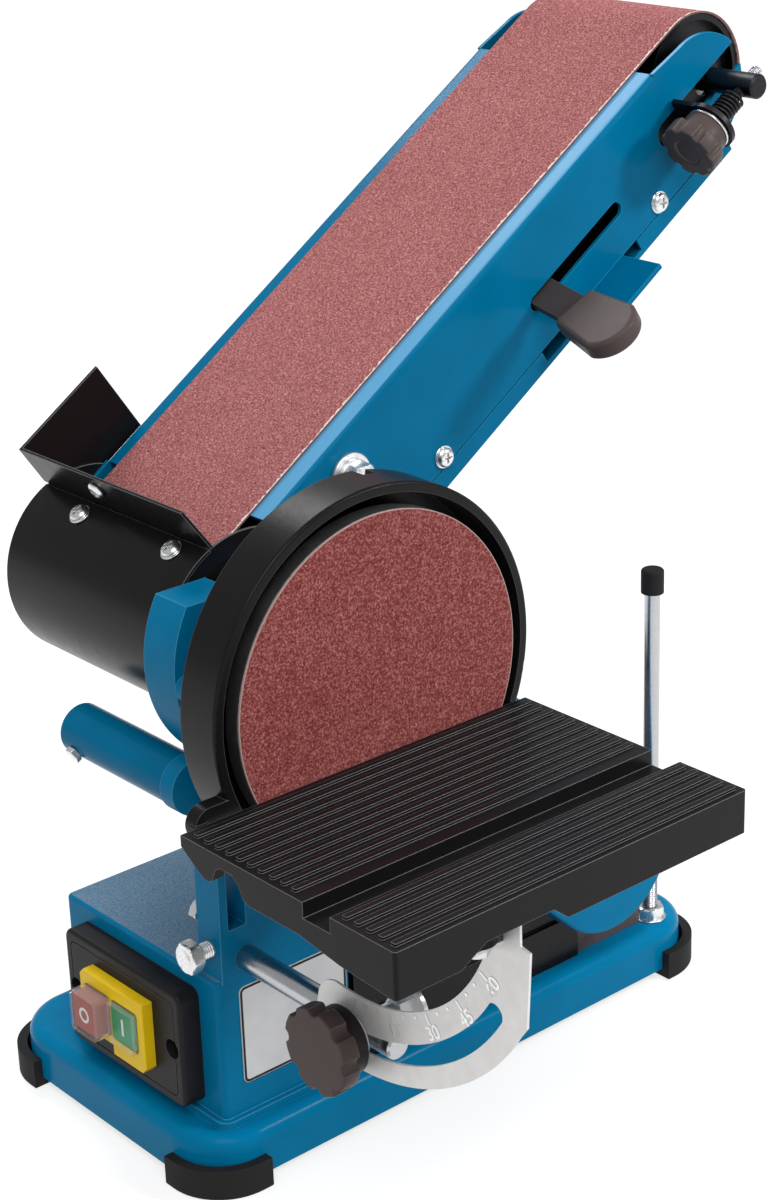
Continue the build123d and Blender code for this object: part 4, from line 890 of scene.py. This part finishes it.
tilt_hand_knob()
tracking_hand_knob()
tracking_bolt()
wound_spring()


# Scale, legends and small trim


def scale_direction(angle):
    """Directions along the scale and to the pivot, at an angle from straight down."""
    return Vector((0, -cos(angle), sin(angle))), Vector((0, sin(angle), cos(angle)))


def scale_point(angle, radius):
    return place(PROTRACTOR_FACE, TILT_AXIS_Y - radius * sin(angle), TILT_AXIS_Z - radius * cos(angle))


def inner_edge(angle):
    """Radius of the protractor's inner edge about the tilt axis."""
    across = PROTRACTOR_SHIFT * cos(angle)
    return PROTRACTOR_SHIFT * sin(angle) + sqrt(PROTRACTOR_INNER**2 - across**2)


def add_number(bm, text, angle, radius, height):
    """Pressed number that reads with its head to the pivot."""
    along, inward = scale_direction(angle)
    font = bpy.data.curves.new("scale_number", "FONT")
    font.body = text
    font.size = NUMBER_SIZE / 1000
    font.extrude = height / 1000
    font.offset = 0.0002
    font.align_x = "CENTER"
    font.align_y = "CENTER"
    holder = bpy.data.objects.new("scale_number", font)
    mesh = bpy.data.meshes.new_from_object(holder)
    turn = Matrix((along, inward, -RIGHT)).transposed().to_4x4()
    mesh.transform(Matrix.Translation(scale_point(angle, radius)) @ turn)
    bm.from_mesh(mesh)
    bpy.data.objects.remove(holder)
    bpy.data.curves.remove(font)
    bpy.data.meshes.remove(mesh)


def scale_marks(name, material, zero_angle, height):
    """A line at each number and a dot at each five degrees between."""
    dot = ((-0.05, 0.85), (height - 0.04, 0.85), (height, 0.6))
    line = (1.1, 5.0, 2 * height)
    bm = bmesh.new()
    for degrees in range(0, SCALE_END + DOT_STEP, DOT_STEP):
        angle = radians(zero_angle + degrees)
        edge = inner_edge(angle)
        along, inward = scale_direction(angle)
        if degrees % NUMBER_STEP:
            turned(bm, scale_point(angle, edge + DOT_OFFSET), -RIGHT, dot, 16)
            continue
        block(bm, scale_point(angle, edge + LINE_OFFSET), (along, inward, RIGHT), line)
        if degrees:
            add_number(bm, str(degrees), angle, edge + NUMBER_OFFSET, height)
    finish_piece(name, bm, material, "table")


def protractor_scale():
    """Pressed marks: bright faces, with a painted shadow beside each one."""
    scale_marks("protractor_scale", mark_metal, SCALE_ZERO, height=0.12)
    scale_marks("protractor_scale_painted_shadow", painted_mark_shadow, SCALE_ZERO + 0.25, height=0.06)


def button_legends():
    """Ring on the stop button and line on the start button."""
    ink = 0.12
    inner = 2.5
    outer = 3.9
    ring = ((0, inner), (ink, inner), (ink, outer), (0, outer))
    bm = bmesh.new()
    turned(bm, place(STOP_FACE, STOP_Y, BUTTON_Z), -RIGHT, ring, 48, None, True)
    finish_piece("stop_legend", bm, white_ink, "stop_button")
    bm = bmesh.new()
    block(bm, place(START_FACE, START_Y, BUTTON_Z), (RIGHT, BACK, UP), (2 * ink, 1.5, 8.6))
    finish_piece("start_legend", bm, white_ink, "start_button")


def plate_border():
    """Dark printed line round the bare plate."""
    ink = 0.08
    outer = 0.3
    inner = 1.5
    corner_steps = 8
    rings = []
    bm = bmesh.new()
    for inset, height in ((outer, 0.0), (outer, ink), (inner, ink), (inner, 0.0)):
        radius = PLATE_CORNER - inset * 0.8
        ring = []
        for quarter, (side, rise) in enumerate(((1, 1), (-1, 1), (-1, -1), (1, -1))):
            x = PLATE_CENTRE[0] + side * (PLATE_SIZE[0] / 2 - inset - radius)
            z = PLATE_CENTRE[2] + rise * (PLATE_SIZE[1] / 2 - inset - radius)
            for step in range(corner_steps + 1):
                angle = pi / 2 * (quarter + step / corner_steps)
                point = place(x + radius * cos(angle), PLATE_CENTRE[1] - height, z + radius * sin(angle))
                ring.append(bm.verts.new(point))
        rings.append(ring)
    join_rings(bm, rings, True)
    finish_piece("plate_border", bm, black_ink, "stand")


def disc_rim():
    """Pale cut edge of the abrasive disc."""
    bm = bmesh.new()
    inner = DISC_RADIUS - 0.45
    outer = DISC_RADIUS + 0.05
    back = -0.95
    ring = ((-0.02, inner), (0.06, outer), (back, outer), (back, inner))
    turned(bm, place(0, 0, 0), -BACK, ring, 160, None, True)
    finish_piece("disc_rim", bm, paper_edge, "spindle")


protractor_scale()
button_legends()
plate_border()
disc_rim()


# Camera, floor, light and world


def add_camera():
    right = Vector((cos(CAMERA_YAW), sin(CAMERA_YAW), 0))
    back = Vector(
        (sin(CAMERA_YAW) * cos(CAMERA_PITCH), -cos(CAMERA_YAW) * cos(CAMERA_PITCH), sin(CAMERA_PITCH))
    )
    up = back.cross(right)
    tilted_right = right * cos(CAMERA_ROLL) + up * sin(CAMERA_ROLL)
    tilted_up = up * cos(CAMERA_ROLL) - right * sin(CAMERA_ROLL)
    data = bpy.data.cameras.new("camera")
    data.sensor_width = 36.0
    data.lens = FOCAL_PIXELS / PICTURE_HEIGHT * data.sensor_width
    data.clip_end = 50.0
    camera = bpy.data.objects.new("camera", data)
    turn = Matrix((tilted_right, tilted_up, back)).transposed().to_4x4()
    camera.matrix_world = Matrix.Translation(place(*CAMERA_PLACE)) @ turn
    bpy.context.scene.collection.objects.link(camera)
    bpy.context.scene.camera = camera


def add_floor():
    """Pale floor, lifted to white for the eye and for reflections, that still takes the shadow."""
    bm = bmesh.new()
    bmesh.ops.create_grid(bm, x_segments=2, y_segments=2, size=8.0)
    mesh = bpy.data.meshes.new("floor")
    bm.to_mesh(mesh)
    bm.free()
    floor = bpy.data.objects.new("floor", mesh)
    bpy.context.scene.collection.objects.link(floor)
    grey = (0.42, 0.42, 0.42)
    white = (1, 1, 1, 1)
    shader = Shader("floor_white", grey, 0.9, Specular_IOR_Level=0.0, Emission_Color=white)
    tones = ((0.0, (0.41, 0.41, 0.41)), (1.0, (0.43, 0.43, 0.43)))
    shader.color(shader.ramp(shader.noise(3.0), tones))
    path = shader.tree.nodes.new("ShaderNodeLightPath").outputs
    seen = shader.math("MAXIMUM", path["Is Camera Ray"], path["Is Glossy Ray"])
    seen = shader.math("MAXIMUM", seen, path["Is Transmission Ray"])
    lift = shader.span(seen, 0.0, 1.0, 0.0, 0.7)
    shader.link(lift, shader.bsdf.inputs["Emission Strength"])
    mesh.materials.append(shader.material)


def add_sun(name, direction, spread, strength):
    """Broad soft light from far away, the same all over the floor."""
    data = bpy.data.lights.new(name, "SUN")
    data.angle = radians(spread)
    data.energy = strength
    lamp = bpy.data.objects.new(name, data)
    lamp.rotation_euler = Vector(direction).to_track_quat("-Z", "Y").to_euler()
    bpy.context.scene.collection.objects.link(lamp)


def add_lamp(name, at, aim, size, power):
    data = bpy.data.lights.new(name, "AREA")
    data.shape = "DISK"
    data.size = size
    data.energy = power
    lamp = bpy.data.objects.new(name, data)
    lamp.location = at
    lamp.rotation_euler = (Vector(aim) - Vector(at)).to_track_quat("-Z", "Y").to_euler()
    bpy.context.scene.collection.objects.link(lamp)


def add_world():
    world = bpy.data.worlds.new("studio")
    world.use_nodes = True
    background = world.node_tree.nodes["Background"]
    background.inputs["Color"].default_value = (1, 1, 1, 1)
    background.inputs["Strength"].default_value = 0.5
    bpy.context.scene.world = world


add_camera()
add_floor()
add_sun("key_light", direction=(0.45, 0.75, -1.0), spread=40.0, strength=1.35)
add_lamp("front_light", at=(0.7, -0.85, 1.0), aim=(0, 0, 0.15), size=0.22, power=7.0)
add_lamp("back_light", at=(0.35, 1.2, 1.75), aim=(0, 0.1, 0.4), size=0.7, power=12.0)
add_world()

bpy.context.scene.view_settings.view_transform = "Standard"
